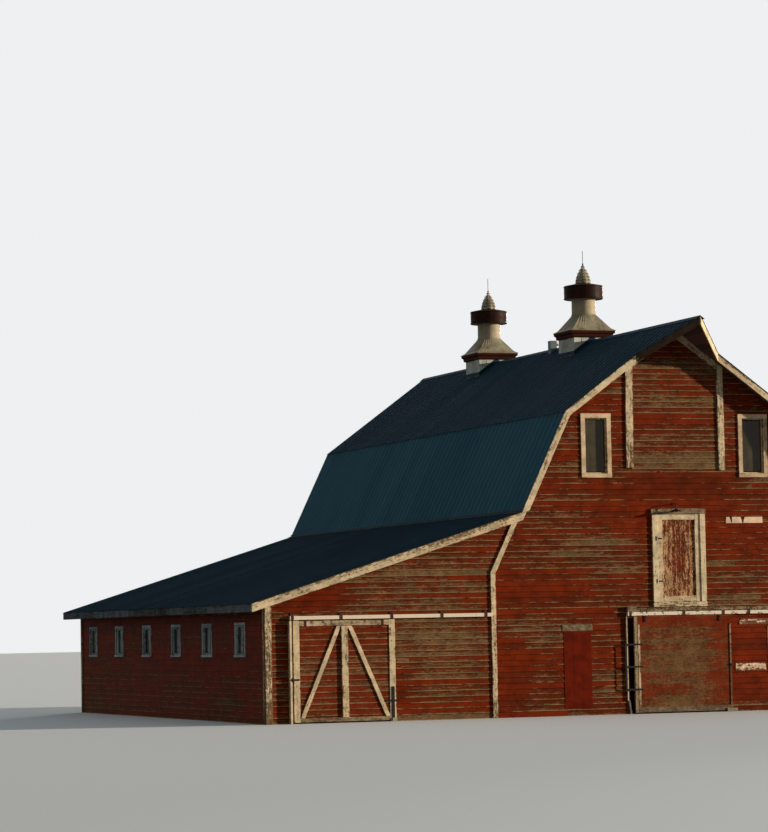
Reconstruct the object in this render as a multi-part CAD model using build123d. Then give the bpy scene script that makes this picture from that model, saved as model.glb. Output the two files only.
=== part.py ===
from build123d import *
import os
from math import hypot

os.makedirs("parts", exist_ok=True)

# Driving dimensions, in millimetres
# The barn stands on z = 0 with its front gable towards -Y
main_half = 5180            # old barn, centre line to the outer face of its side walls
length = 17890              # front wall to back wall, over the walls
ridge_height = 10000        # top of the upper roof slopes
break_half = 3185           # where the steep lower slope begins
break_height = 7680
old_eave_height = 3580      # lower slope's surface above the old side walls
shed_width = 5930           # lean-to, outside the old side walls
shed_overhang = 470
shed_eave_height = 2945
shed_junction_height = 5135  # where the shed roof meets the lower slope
rake_overhang = 370
hood_reach = 1370           # how far the ridge runs out over the hay door
hood_half = 1120

wall = 120
roof = 100
board = 25                  # trim boards
rake_depth = 165
shed_rake_depth = 200
fascia_depth = 200
clearance = 8               # between a door and what it passes

# Where the building lies, so that the origin is the middle of its footprint
front = -(length - hood_reach) / 2
back = front + length
rake_front = front - rake_overhang
rake_back = back + rake_overhang
hood_tip = rake_front - hood_reach
slab_front = rake_front + board
slab_back = rake_back - board
shed_half = main_half + shed_width
eave_half = shed_half + shed_overhang


# Helpers for outlines, boxes and files

def across(outline, y0, y1):
    """An X-Z outline, run along Y."""
    face = make_face(Polyline(*[(x, y0, z) for x, z in outline], close=True))
    return extrude(face, amount=y1 - y0, dir=(0, 1, 0))


def upright(outline, z0, z1):
    """An X-Y outline, run along Z."""
    face = make_face(Polyline(*[(x, y, z0) for x, y in outline], close=True))
    return extrude(face, amount=z1 - z0, dir=(0, 0, 1))


def block(x0, x1, y0, y1, z0, z1):
    return Pos((x0 + x1) / 2, (y0 + y1) / 2, (z0 + z1) / 2) * Box(abs(x1 - x0), abs(y1 - y0), abs(z1 - z0))


def other_side(shape):
    """The same piece on the other side of the centre line."""
    return mirror(shape, about=Plane.YZ)


def save(name, *shapes):
    """Write one node, with every solid of the given shapes."""
    solids = [solid for shape in shapes for solid in shape.solids()]
    whole = solids[0] if len(solids) == 1 else Compound(solids)
    whole.label = name
    export_step(whole, f"parts/{name}.step")


class Line2:
    """A straight line in the cross-section, as z = start - fall * x."""

    def __init__(self, start, fall):
        self.start = start
        self.fall = fall

    def at(self, x):
        return self.start - self.fall * x

    def below(self, depth):
        """The same line moved square to itself by a depth."""
        return Line2(self.start - depth * hypot(1, self.fall), self.fall)

    def meet(self, other):
        x = (self.start - other.start) / (self.fall - other.fall)
        return x, self.at(x)


def line_through(x0, z0, x1, z1):
    fall = (z0 - z1) / (x1 - x0)
    return Line2(z0 + fall * x0, fall)


# Roof lines of the right half, each at the top surface and at the underside
upper = line_through(0, ridge_height, break_half, break_height)
lower = line_through(break_half, break_height, main_half, old_eave_height)
junction_x = (lower.start - shed_junction_height) / lower.fall
shed = line_through(junction_x, shed_junction_height, eave_half, shed_eave_height)
upper_under = upper.below(roof)
lower_under = lower.below(roof)
shed_under = shed.below(roof)
break_under = upper_under.meet(lower_under)
old_eave_under = lower_under.at(main_half)


# Openings in the front gable, the loft and the sheds
main_leaf = (-1310, 1422)   # the main door stands a little open
main_closing = 160          # how far it still has to go
main_lap = 46               # how far the shut leaf covers the wall on each side
shed_leaf_inset = 680       # outer corner of the shed to the shut leaf
shed_leaf_width = 2650
shed_lap = 140
doorway_height = 2420
loft_rise = 280
gable_level = doorway_height + loft_rise  # loft floor, and sill of the hay door
main_doorway = (main_leaf[0] - main_closing + main_lap, main_leaf[1] - main_closing - main_lap)
shed_leaf = (shed_leaf_inset - shed_half, shed_leaf_inset + shed_leaf_width - shed_half)
shed_doorway = (shed_leaf[0] + shed_lap, shed_leaf[1] - shed_lap)
offset = 30                 # the hay door and the mow door stand a little right of the centre

hay_door_width = 1490
hay_door_top = 5215
hay_casing = 145
hay_casing_depth = 45
hay_sill = 135
hay_left = offset - hay_door_width / 2
hay_right = offset + hay_door_width / 2
hay_gap = 25                # how far the wall's opening reaches under the casing

loft_window_inner = 1795
loft_window_width = 830
loft_window_height = 1650
loft_window_drop = 30       # its top below the break in the roof
loft_window_sill = break_height - loft_window_drop - loft_window_height
loft_casing = 105
loft_sash = 60

side_window_count = 6
side_window_first = 2035    # front wall to the first window's centre
side_window_pitch = 2883
side_window_width = 900
side_window_height = 870
side_window_sill = 1635
side_casing = 75
side_sash = 50
casing_depth = 22
glass_depth = 6

mow_half = 1170             # inner edges of the two gable posts
mow_post = 185
mow_sill_rise = 235         # over the sill of the loft windows
mow_sill = loft_window_sill + mow_sill_rise
mow_frieze = 205


def window_hole(centre, sill, width, height, casing):
    """The corners of a window's opening: low and high across, low and high up."""
    half = width / 2 - casing
    return centre - half, centre + half, sill + casing, sill + height - casing


loft_centre = loft_window_inner + loft_window_width / 2
loft_holes = [window_hole(x, loft_window_sill, loft_window_width, loft_window_height, loft_casing)
              for x in (-loft_centre, loft_centre)]
side_centres = [front + side_window_first + i * side_window_pitch for i in range(side_window_count)]
side_holes = [window_hole(y, side_window_sill, side_window_width, side_window_height, side_casing)
              for y in side_centres]


# Front wall of the old barn, in pieces around the doorway, and the gable over them
gable_outline = [(-main_half, gable_level), (main_half, gable_level), (main_half, old_eave_under),
                 break_under, (0, upper_under.at(0)), (-break_under[0], break_under[1]),
                 (-main_half, old_eave_under)]
mow_roof = Line2(upper_under.start - mow_frieze, upper_under.fall)
mow_outline = [(offset - mow_half, mow_sill), (offset + mow_half, mow_sill),
               (offset + mow_half, mow_roof.at(offset + mow_half)), (0, mow_roof.at(0)),
               (offset - mow_half, mow_roof.at(mow_half - offset))]
hay_hole = (hay_left + hay_gap, hay_right - hay_gap, gable_level + hay_gap, hay_door_top - hay_gap)


def front_walls():
    save("front_wall_left", block(-main_half, main_doorway[0], front, front + wall, 0, gable_level))
    save("front_wall_right", block(main_doorway[1], main_half, front, front + wall, 0, gable_level))
    save("front_wall_lintel", block(*main_doorway, front, front + wall, doorway_height, gable_level))
    gable = across(gable_outline, front, front + wall)
    gable -= across(mow_outline, front, front + wall)
    for x0, x1, z0, z1 in loft_holes + [hay_hole]:
        gable -= block(x0, x1, front, front + wall, z0, z1)
    save("front_gable", gable)


def back_wall():
    outline = [(-main_half, 0), (main_half, 0)] + gable_outline[2:]
    whole = across(outline, back - wall, back)
    for x0, x1, z0, z1 in loft_holes:
        whole -= block(x0, x1, back - wall, back, z0, z1)
    save("back_wall", whole)


def inner_walls():
    """The old side walls, which carry the foot of the lower roof slopes."""
    outline = [(main_half - wall, 0), (main_half, 0), (main_half, old_eave_under),
               (main_half - wall, lower_under.at(main_half - wall))]
    right = across(outline, front + wall, back - wall)
    save("right_inner_wall", right)
    save("left_inner_wall", other_side(right))


# Walls of the two sheds, up to the underside of their roofs
valley = lower_under.meet(shed_under)


def shed_end_outline(x0, x1):
    """An end wall of the right shed between two distances from the centre line."""
    if x0 > main_half:
        return [(x0, 0), (x1, 0), (x1, shed_under.at(x1)), (x0, shed_under.at(x0))]
    return [(main_half, 0), (x1, 0), (x1, shed_under.at(x1)), valley, (main_half, old_eave_under)]


def shed_walls():
    near, far = -shed_doorway[1], -shed_doorway[0]
    inner = across(shed_end_outline(main_half, near), front, front + wall)
    outer = across(shed_end_outline(far, shed_half), front, front + wall)
    over = across([(near, doorway_height), (far, doorway_height), (far, shed_under.at(far)),
                   (near, shed_under.at(near))], front, front + wall)
    save("left_shed_front_inner", other_side(inner))
    save("left_shed_front_outer", other_side(outer))
    save("left_shed_front_lintel", other_side(over))
    save("right_shed_front_wall", across(shed_end_outline(main_half, shed_half), front, front + wall))
    end = across(shed_end_outline(main_half, shed_half), back - wall, back)
    save("right_shed_back_wall", end)
    save("left_shed_back_wall", other_side(end))
    inside = shed_half - wall
    side = across([(inside, 0), (shed_half, 0), (shed_half, shed_under.at(shed_half)),
                   (inside, shed_under.at(inside))], front + wall, back - wall)
    for y0, y1, z0, z1 in side_holes:
        side -= block(inside, shed_half, y0, y1, z0, z1)
    save("right_shed_side_wall", side)
    save("left_shed_side_wall", other_side(side))


# Loft floor, carried by the old side walls
floor_depth = 200


def loft_floor():
    inside = main_half - wall
    floor = block(-inside, inside, front + wall, back - wall, gable_level - floor_depth, gable_level)
    save("loft_floor", floor)


# Roof ventilators, square below and round above, counted upwards from the ridge
vent_places = [5650, 12690]  # front wall to the middle of each
vent_curb_half = 540
vent_curb_board = 40
vent_curb_rise = 105
vent_cornice_depth = 180
vent_cornice_step = 45
vent_eave_reach = 100
vent_flare = 95             # the skirt kicks out at its eave
vent_flare_rise = 75
vent_skirt_rise = 475
vent_hip_radius = 12
vent_neck_radius = 330
vent_neck_rise = 430
vent_drum_radius = 530
vent_drum_height = 360
vent_cone_rise = 60
vent_crown_radius = 235
vent_crown_rise = 530
vent_crown_tiers = 7
vent_crown_bulge = 1.8      # 1 would be a straight cone
vent_tier_lap = 22          # how far a tier's edge stands out over the one below
vent_rod_rise = 400
vent_rod_radius = 9
vent_sheet = 8
vent_cornice_bottom = ridge_height + vent_curb_rise
vent_eave_height = vent_cornice_bottom + vent_cornice_depth
vent_neck_bottom = vent_eave_height + vent_skirt_rise
vent_drum_bottom = vent_neck_bottom + vent_neck_rise
vent_drum_top = vent_drum_bottom + vent_drum_height
vent_crown_bottom = vent_drum_top + vent_cone_rise
vent_crown_top = vent_crown_bottom + vent_crown_rise
vent_rod_top = vent_crown_top + vent_rod_rise
vent_eave_half = vent_curb_half + vent_eave_reach
vent_shaft_half = vent_curb_half - vent_curb_board
vent_centres = [front + place for place in vent_places]


def skirt_solid(inset):
    """The skirt as one solid, square at its flared eave and round at its neck, smaller by an inset."""
    sections = []
    for half, corner, z in ((vent_eave_half, vent_hip_radius, vent_eave_height),
                            (vent_eave_half - vent_flare, vent_hip_radius, vent_eave_height + vent_flare_rise),
                            (vent_neck_radius, vent_neck_radius - inset - 1, vent_neck_bottom)):
        side = 2 * (half - inset)
        sections.append(Pos(0, 0, z) * RectangleRounded(side, side, corner))
    return loft(sections, ruled=True)


def vent_flue():
    """Skirt and round neck, open all the way up."""
    rise = vent_drum_top - vent_sheet - vent_neck_bottom
    bore = vent_neck_radius - vent_sheet
    neck = Pos(0, 0, vent_neck_bottom + rise / 2) * Cylinder(vent_neck_radius, rise)
    hollow = Pos(0, 0, vent_neck_bottom + rise / 2) * Cylinder(bore, rise)
    return skirt_solid(0) + neck - skirt_solid(vent_sheet) - hollow


def vent_drum():
    """The wide band over the neck, closed by a shallow cone."""
    outline = [(vent_drum_radius - vent_sheet, vent_drum_bottom), (vent_drum_radius, vent_drum_bottom),
               (vent_drum_radius, vent_drum_top), (vent_crown_radius, vent_crown_bottom),
               (0, vent_crown_bottom), (0, vent_drum_top - vent_sheet),
               (vent_drum_radius - vent_sheet, vent_drum_top - vent_sheet)]
    face = make_face(Polyline(*[(r, 0, z) for r, z in outline], close=True))
    return revolve(face, Axis.Z)


def crown_radius(step):
    """The crown's outline, which bulges between its foot and its tip."""
    return vent_crown_radius * (1 - (step / vent_crown_tiers) ** vent_crown_bulge)


def vent_crown():
    """A tiered spire of round sheet-metal steps, with a rod on top."""
    rise = vent_crown_rise / vent_crown_tiers
    outline = [(0, vent_crown_bottom)]
    for i in range(vent_crown_tiers):
        z = vent_crown_bottom + i * rise
        outline.append((crown_radius(i), z))
        outline.append((max(crown_radius(i + 1) - vent_tier_lap, 2 * vent_rod_radius), z + rise))
    outline.append((0, vent_crown_top))
    crown = revolve(make_face(Polyline(*[(r, 0, z) for r, z in outline], close=True)), Axis.Z)
    rod_bottom = vent_crown_top - rise
    rod_length = vent_rod_top - rod_bottom
    rod = Pos(0, 0, rod_bottom + rod_length / 2) * Cylinder(vent_rod_radius, rod_length)
    return crown + rod


def vent_curb():
    """Four boards around the shaft, scribed to the roof."""
    reach = vent_curb_half
    lowest = upper.at(reach)
    tube = block(-reach, reach, -reach, reach, lowest, vent_cornice_bottom)
    hole = vent_shaft_half
    tube -= block(-hole, hole, -hole, hole, lowest, vent_cornice_bottom)
    ridge = [(-reach, lowest), (reach, lowest), (0, ridge_height)]
    return tube - across(ridge, -reach, reach)


def vent_cornice():
    """A two-step moulding under the skirt."""
    middle = vent_cornice_bottom + vent_cornice_depth / 2
    half = vent_eave_half
    small = half - vent_cornice_step
    hole = vent_shaft_half
    low = block(-small, small, -small, small, vent_cornice_bottom, middle)
    high = block(-half, half, -half, half, middle, vent_eave_height)
    return low + high - block(-hole, hole, -hole, hole, vent_cornice_bottom, vent_eave_height)


def ventilators():
    for name, shape in (("vent_curbs", vent_curb()), ("vent_cornices", vent_cornice()),
                        ("vent_flues", vent_flue()), ("vent_drums", vent_drum()),
                        ("vent_crowns", vent_crown())):
        save(name, *[Pos(0, y, 0) * shape for y in vent_centres])


# A small box vent close behind the front ventilator, with a spout bent down over the ridge
stub_half = 95
stub_place = 2000           # behind the ventilator's middle
stub_side = 110             # left of the ridge
stub_rise = 300
stub_spout = 45
stub_bend = 75
stub_spout_drop = 52        # from the top of the box to the middle of the spout
stub_x = (-stub_side - stub_half, stub_half - stub_side)
stub_y = vent_centres[0] + stub_place


def stub_vent():
    low, high = stub_x
    top = upper.at(stub_side) + stub_rise
    body = across([(low, upper.at(-low)), (high, upper.at(-high)), (high, top), (low, top)],
                  stub_y - stub_half, stub_y + stub_half)
    level = top - stub_spout_drop
    mouth = Plane(origin=(high, stub_y, level), x_dir=(0, 1, 0), z_dir=(1, 0, 0))
    ring = mouth * (Circle(stub_spout) - Circle(stub_spout - vent_sheet))
    spout = revolve(ring, Axis((high, stub_y, level - stub_bend), (0, 1, 0)), 90)
    save("stub_vent", body + spout)


# Roofs: two slopes a side on the old barn, and one over each shed
hood_slant = board * hypot(hood_half, hood_reach) / hood_half  # trim board, measured along Y
cap_half = 150
cap_sheet = 8
apron_rise = 300            # how far the apron sheet laps up the lower slope
apron_run = 130             # and out over the shed roof


def main_roofs():
    outline = [(0, ridge_height), (break_half, break_height), break_under, (0, upper_under.at(0))]
    slope = across(outline, hood_tip, slab_back)
    wide = break_half + roof
    slope -= upright([(0, hood_tip - board), (wide, hood_tip - board), (wide, slab_front),
                      (hood_half, slab_front), (hood_half, rake_front + hood_slant),
                      (0, hood_tip + hood_slant)], 0, ridge_height)
    hole = vent_shaft_half
    for y in vent_centres:
        slope -= block(-hole, hole, y - hole, y + hole, 0, ridge_height)
    save("right_upper_roof", slope)
    save("left_upper_roof", other_side(slope))
    above = [(break_half, break_height), lower.meet(shed_under), valley, break_under]
    foot = main_half + roof
    below = [(break_half, break_height), (foot, lower.at(foot)), (foot, lower_under.at(foot)), break_under]
    slope = across(above, slab_front, slab_back) + across(below, front + wall, back - wall)
    save("right_lower_roof", slope)
    save("left_lower_roof", other_side(slope))


def shed_roofs():
    end = eave_half - board
    outline = [(junction_x, shed_junction_height), (end, shed.at(end)), (end, shed_under.at(end)),
               lower.meet(shed_under)]
    slope = across(outline, slab_front, slab_back)
    save("right_shed_roof", slope)
    save("left_shed_roof", other_side(slope))
    top = junction_x - apron_rise / hypot(1, lower.fall)
    out = junction_x + apron_run
    apron = across([(junction_x, shed_junction_height), (out, shed.at(out)), (top, lower.at(top))],
                   rake_front, rake_back)
    save("roof_aprons", apron, other_side(apron))


def ridge_cap():
    """Folded sheet along the ridge, stopped at each ventilator and cut round the box vent."""
    over = upper.below(-cap_sheet)
    outline = [(0, ridge_height), (cap_half, upper.at(cap_half)), (cap_half, over.at(cap_half)),
               (0, over.at(0)), (-cap_half, over.at(cap_half)), (-cap_half, upper.at(cap_half))]
    cap = across(outline, hood_tip, rake_back)
    for y in vent_centres:
        cap -= block(-cap_half, cap_half, y - vent_curb_half, y + vent_curb_half, 0, ridge_height + roof)
    cap -= block(*stub_x, stub_y - stub_half, stub_y + stub_half, 0, ridge_height + roof)
    save("ridge_cap", cap)


# Trim boards under the roof edges, on the corners and over the joints
def rake_boards():
    edge = upper.below(rake_depth)
    edge_low = lower.below(rake_depth)
    knee = edge.meet(edge_low)
    tail = edge_low.meet(shed)
    outline = [(0, ridge_height), (break_half, break_height), (junction_x, shed_junction_height), tail, knee,
               (0, edge.at(0))]
    half = across(outline, rake_back - board, rake_back)
    rear = half + other_side(half)
    outline = [(hood_half, upper.at(hood_half))] + outline[1:-1] + [(hood_half, edge.at(hood_half))]
    right = across(outline, rake_front, slab_front)
    save("main_rake_boards", rear, right, other_side(right))
    band = across([(0, ridge_height), (hood_half, upper.at(hood_half)), (hood_half, edge.at(hood_half)),
                   (0, edge.at(0))], hood_tip, rake_front + hood_slant)
    strip = upright([(0, hood_tip), (hood_half, rake_front), (hood_half, rake_front + hood_slant),
                     (0, hood_tip + hood_slant)], 0, ridge_height)
    side = band & strip
    save("hood_trim", side + other_side(side))
    drop = shed_rake_depth * hypot(1, shed.fall)
    start = tail[0]
    end = eave_half - board
    cut = edge_low.meet(Line2(shed.start - drop, shed.fall))
    outline = [(start, shed.at(start)), (end, shed.at(end)), (end, shed.at(end) - drop), cut]
    ends = [across(outline, rake_front, slab_front), across(outline, slab_back, rake_back)]
    save("shed_rake_boards", *ends, *[other_side(end) for end in ends])
    eave = block(end, eave_half, rake_front, rake_back, shed_eave_height - fascia_depth, shed_eave_height)
    save("eave_fascias", eave, other_side(eave))


corner_width = 150
joint_width = 130
joint_knee_rise = 40        # over the old eave


def corner_boards():
    """Boards that cap the four outer corners, and those over the joint with the old barn."""
    edge = shed_half + board
    top = shed_under.at(edge)
    pieces = []
    for face, sign in ((front, -1), (back, 1)):
        cap = block(shed_half - corner_width, edge, face, face + sign * board, 0, top)
        ends = [face, face - sign * corner_width]
        lap = block(shed_half, edge, min(ends), max(ends), 0, top)
        pieces.append(cap + lap)
        inner = main_half - joint_width
        knee = old_eave_height + joint_knee_rise
        slant = Line2(knee + lower.fall * main_half, lower.fall)
        head_x, head = slant.meet(shed_under)
        outline = [(inner, 0), (main_half, 0), (main_half, knee), (head_x, head),
                   (head_x - joint_width, head), (inner, knee)]
        pieces.append(across(outline, min(face, face + sign * board), max(face, face + sign * board)))
    save("corner_boards", *pieces, *[other_side(piece) for piece in pieces])


# Gable fittings: mow door, hay door, lamp and windows
leaf_depth = 30
panel_depth = 20            # how far the hay door's panel lies behind its stiles
flush = 5                   # its stiles behind the casing


def mow_door():
    save("mow_door", across(mow_outline, front, front + 2 * leaf_depth))
    outer = mow_half + mow_post
    posts = []
    for side in (-1, 1):
        x0, x1 = sorted((offset + side * mow_half, offset + side * outer))
        low, high = upper_under.at(abs(x0)), upper_under.at(abs(x1))
        posts.append(across([(x0, mow_sill), (x1, mow_sill), (x1, high), (x0, low)], front - board, front))
    low, high = offset - mow_half, offset + mow_half
    frieze = across([(low, upper_under.at(-low)), (low, mow_roof.at(-low)), (0, mow_roof.at(0)),
                     (high, mow_roof.at(high)), (high, upper_under.at(high)), (0, upper_under.at(0))],
                    front - board, front)
    save("mow_door_trim", posts[0] + posts[1] + frieze)


def hay_door():
    """The small door to the loft: casing, then a leaf with stiles, rails and a board panel."""
    x0, x1 = hay_left + hay_casing, hay_right - hay_casing
    z0, z1 = gable_level + hay_sill, hay_door_top - hay_casing
    proud = front - hay_casing_depth
    casing = block(hay_left, hay_right, proud, front, gable_level, hay_door_top)
    jamb = block(hay_hole[0], hay_hole[1], front, front + wall, hay_hole[2], hay_hole[3])
    save("hay_door_frame", casing + jamb - block(x0, x1, proud, front + wall, z0, z1))
    face = proud + flush
    panel = face + panel_depth
    leaf = block(x0, x1, face, panel + leaf_depth, z0, z1)
    leaf -= block(x0 + hay_casing, x1 - hay_casing, face, panel, z0 + hay_casing, z1 - hay_casing)
    save("hay_door", leaf)


# The lamp over the hay door
lamp_shift = -145           # from the middle of the hay door
lamp_rise = 115             # top of the door's casing to the arm
lamp_reach = 240
lamp_drop = 150
lamp_tube = 11
lamp_drop_tube = 14
lamp_plate = 90
lamp_plate_depth = 12
lamp_shade = 172
lamp_shade_rise = 45
lamp_cap = 40
lamp_sheet = 6


def lamp():
    """A small barn lamp: wall plate, arm, drop and flat shade."""
    x = offset + lamp_shift
    z = hay_door_top + lamp_rise
    half = lamp_plate / 2
    plate = block(x - half, x + half, front - lamp_plate_depth, front, z - half, z + half)
    arm = Pos(x, front - lamp_reach / 2, z) * Rot(90, 0, 0) * Cylinder(lamp_tube, lamp_reach)
    drop = Cylinder(lamp_drop_tube, lamp_drop + lamp_drop_tube)
    drop = Pos(x, front - lamp_reach, z + (lamp_drop_tube - lamp_drop) / 2) * drop
    top = z - lamp_drop + lamp_sheet
    outline = [(0, top), (lamp_cap, top), (lamp_shade, top - lamp_shade_rise),
               (lamp_shade, top - lamp_shade_rise - lamp_sheet), (lamp_cap, top - lamp_sheet),
               (0, top - lamp_sheet)]
    shade = revolve(make_face(Polyline(*[(r, 0, h) for r, h in outline], close=True)), Axis.Z)
    save("yard_lamp", plate + arm + drop + Pos(x, front - lamp_reach, 0) * shade)


def window(hole, sash, casing, face, outwards):
    """Frame and glass of one window in a wall across Y, as (frame, glass)."""
    x0, x1, z0, z1 = hole
    proud = face + outwards * casing_depth
    inside = face - outwards * wall
    light = (x0 + sash, x1 - sash, min(proud, inside), max(proud, inside), z0 + sash, z1 - sash)
    frame = block(x0 - casing, x1 + casing, proud, face, z0 - casing, z1 + casing)
    frame += block(x0, x1, face, inside, z0, z1)
    middle = (face + inside) / 2
    glass = block(x0 + sash, x1 - sash, middle, middle + glass_depth, z0 + sash, z1 - sash)
    return frame - block(*light), glass


def side_windows():
    """The six windows of each shed, as (frames, panes)."""
    frames, panes = [], []
    outer, inside = shed_half + casing_depth, shed_half - wall
    middle = (shed_half + inside) / 2
    for y0, y1, z0, z1 in side_holes:
        frame = block(shed_half, outer, y0 - side_casing, y1 + side_casing, z0 - side_casing, z1 + side_casing)
        frame += block(shed_half, outer + board, y0 - side_casing, y1 + side_casing, z0 - side_casing,
                       z0 - side_casing + 2 * board)
        frame += block(inside, shed_half, y0, y1, z0, z1)
        frame -= block(inside, outer + board, y0 + side_sash, y1 - side_sash, z0 + side_sash, z1 - side_sash)
        glass = block(middle, middle + glass_depth, y0 + side_sash, y1 - side_sash, z0 + side_sash,
                      z1 - side_sash)
        frames += [frame, other_side(frame)]
        panes += [glass, other_side(glass)]
    return frames, panes


def all_windows():
    frames, panes = side_windows()
    for face, outwards in ((front, -1), (back, 1)):
        for hole in loft_holes:
            frame, glass = window(hole, loft_sash, loft_casing, face, outwards)
            frames.append(frame)
            panes.append(glass)
    save("window_frames", *frames)
    save("window_glass", *panes)


# Sliding doors: boarded leaves that hang from box tracks
leaf_thickness = 32
batten = 25
post_batten = 38            # the shed door's middle post is thicker
leaf_bottom = 30
leaf_drop = 25              # from the track down to the leaf
main_track_rise = 75        # from the top of a doorway up to its track
shed_track_rise = 120
door_offset = 65            # front wall to the middle of leaf and track
track_height = 90
track_width = 70
track_sheet = 6
track_slot = 26
collar_width = 60
end_collar_width = 205
collar_sheet = 6
wheel_radius = 32
wheel_play = 0.5            # over the lips that the wheel runs on
wheel_width = 40
hanger_inset = 320
strap_width = 55
strap_depth = 6
strap_length = 145
pendant_depth = 12
door_centre = front - door_offset
leaf_front = door_centre - leaf_thickness / 2
leaf_back = door_centre + leaf_thickness / 2
batten_front = leaf_front - batten
main_head = doorway_height + main_track_rise  # underside of each track
shed_head = doorway_height + shed_track_rise

main_track_reach = 160      # beyond the leaf when it is shut or wide open
main_slide = 2550           # opens this far
main_track = (main_leaf[0] - main_track_reach, main_leaf[1] + main_slide + main_track_reach)
main_collars = (100, 1214, 1939, 2800, 3700)
shed_track_start = 70       # outside the shut leaf
shed_track_stop = 10        # inside the corner of the old barn
shed_track = (shed_leaf[0] - shed_track_start, -main_half - shed_track_stop)
shed_collar_spans = 4
last_collar = 150           # from the inner end of the track

stile_width = 157
post_width = 166
head_rail = 140
foot_rail = 105
brace_width = 105


def track(x0, x1, bottom, collars):
    """A box track with a slot below, held off the wall by collars, with a long one at its outer end."""
    top = bottom + track_height
    half = track_width / 2
    rail = block(x0, x1, door_centre - half, door_centre + half, bottom, top)
    grips = [(x - collar_width / 2, x + collar_width / 2) for x in collars] + [(x0, x0 + end_collar_width)]
    for a, b in grips:
        rail += block(a, b, door_centre - half - collar_sheet, front, bottom - collar_sheet, top + collar_sheet)
    inside = half - track_sheet
    rail -= block(x0 + track_sheet, x1 - track_sheet, door_centre - inside, door_centre + inside,
                  bottom + track_sheet, top - track_sheet)
    slot = track_slot / 2
    rail -= block(x0 + track_sheet, x1 - track_sheet, door_centre - slot, door_centre + slot,
                  bottom - 2 * collar_sheet, bottom + 2 * track_sheet)
    return rail


def hanger(x, head):
    """Wheel in the track, pendant through the slot, and a strap bolted down the leaf."""
    leaf_top = head - leaf_drop
    axle_height = head + track_sheet + wheel_play + wheel_radius
    wheel = Pos(x, door_centre, axle_height) * Rot(90, 0, 0) * Cylinder(wheel_radius, wheel_width)
    half = strap_width / 2
    pendant = block(x - half / 2, x + half / 2, door_centre - pendant_depth / 2,
                    door_centre + pendant_depth / 2, leaf_top, axle_height)
    strap_front = batten_front - strap_depth
    cap = block(x - half, x + half, strap_front, leaf_back, leaf_top, leaf_top + strap_depth)
    strap = block(x - half, x + half, strap_front, batten_front, leaf_top - strap_length,
                  leaf_top + strap_depth)
    return wheel + pendant + cap + strap


def on_leaf(x0, x1, z0, z1, depth=batten):
    """A board fixed on the outside of a leaf."""
    return block(x0, x1, leaf_front - depth, leaf_front, z0, z1)


def brace(x0, z0, x1, z1):
    """A slanting batten between two points, cut level at both ends."""
    half = brace_width / 2 * hypot(x1 - x0, z1 - z0) / abs(z1 - z0)
    return across([(x0 - half, z0), (x0 + half, z0), (x1 + half, z1), (x1 - half, z1)],
                  batten_front, leaf_front)


# Ironwork on the shed door: a strap on the right stile with a bar across it, and a bar at the left edge
iron_depth = 8
bar_height = 45
shed_strap_inset = 40
shed_strap_width = 80
shed_strap_top = 860
shed_bar_height = 490
shed_bar_reach = (310, 100)  # inside and outside the right edge of the leaf
edge_bar_height = 1050
edge_bar_reach = (75, 145)   # outside and inside the left edge


def shed_door():
    x0, x1 = shed_leaf
    top = shed_head - leaf_drop
    save("left_shed_door", block(x0, x1, leaf_front, leaf_back, leaf_bottom, top))
    middle = (x0 + x1) / 2
    foot, head = leaf_bottom + foot_rail, top - head_rail
    frame = on_leaf(x0, x0 + stile_width, leaf_bottom, top) + on_leaf(x1 - stile_width, x1, leaf_bottom, top)
    frame += on_leaf(x0, x1, leaf_bottom, foot) + on_leaf(x0, x1, head, top)
    frame += on_leaf(middle - post_width / 2, middle + post_width / 2, foot, head, post_batten)
    slant = brace_width / 2 * hypot(head - foot, middle - x0) / (head - foot)
    corner = stile_width + slant
    inner = post_width / 2 + slant
    frame += brace(x0 + corner, foot, middle - inner, head) + brace(x1 - corner, foot, middle + inner, head)
    save("left_shed_door_battens", frame)
    save("left_shed_door_hangers", hanger(x0 + hanger_inset, shed_head), hanger(x1 - hanger_inset, shed_head))
    back_of_iron, bar_front = batten_front - iron_depth, batten_front - 2 * iron_depth
    right = x1 - shed_strap_inset
    strap = block(right - shed_strap_width, right, back_of_iron, batten_front, leaf_bottom, shed_strap_top)
    bar = block(x1 - shed_bar_reach[0], x1 + shed_bar_reach[1], bar_front, back_of_iron,
                shed_bar_height, shed_bar_height + bar_height)
    edge_bar = block(x0 - edge_bar_reach[0], x0 + edge_bar_reach[1], back_of_iron, batten_front,
                     edge_bar_height, edge_bar_height + bar_height)
    save("left_shed_door_latches", strap + bar, edge_bar)


# The main door has an edge board and a thin strip at its left, a thin strip at its right and a worn foot rail
edge_board = 88
thin_strip = 60
thin_strip_gap = 9
thin_strip_top = 2260
main_foot_rail = 140
latch_bars = (600, 1175, 1740)   # heights of the three iron bars that reach over the gap
latch_reach = (265, 225)         # outside and inside the left edge
latch_upright = 40


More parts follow.
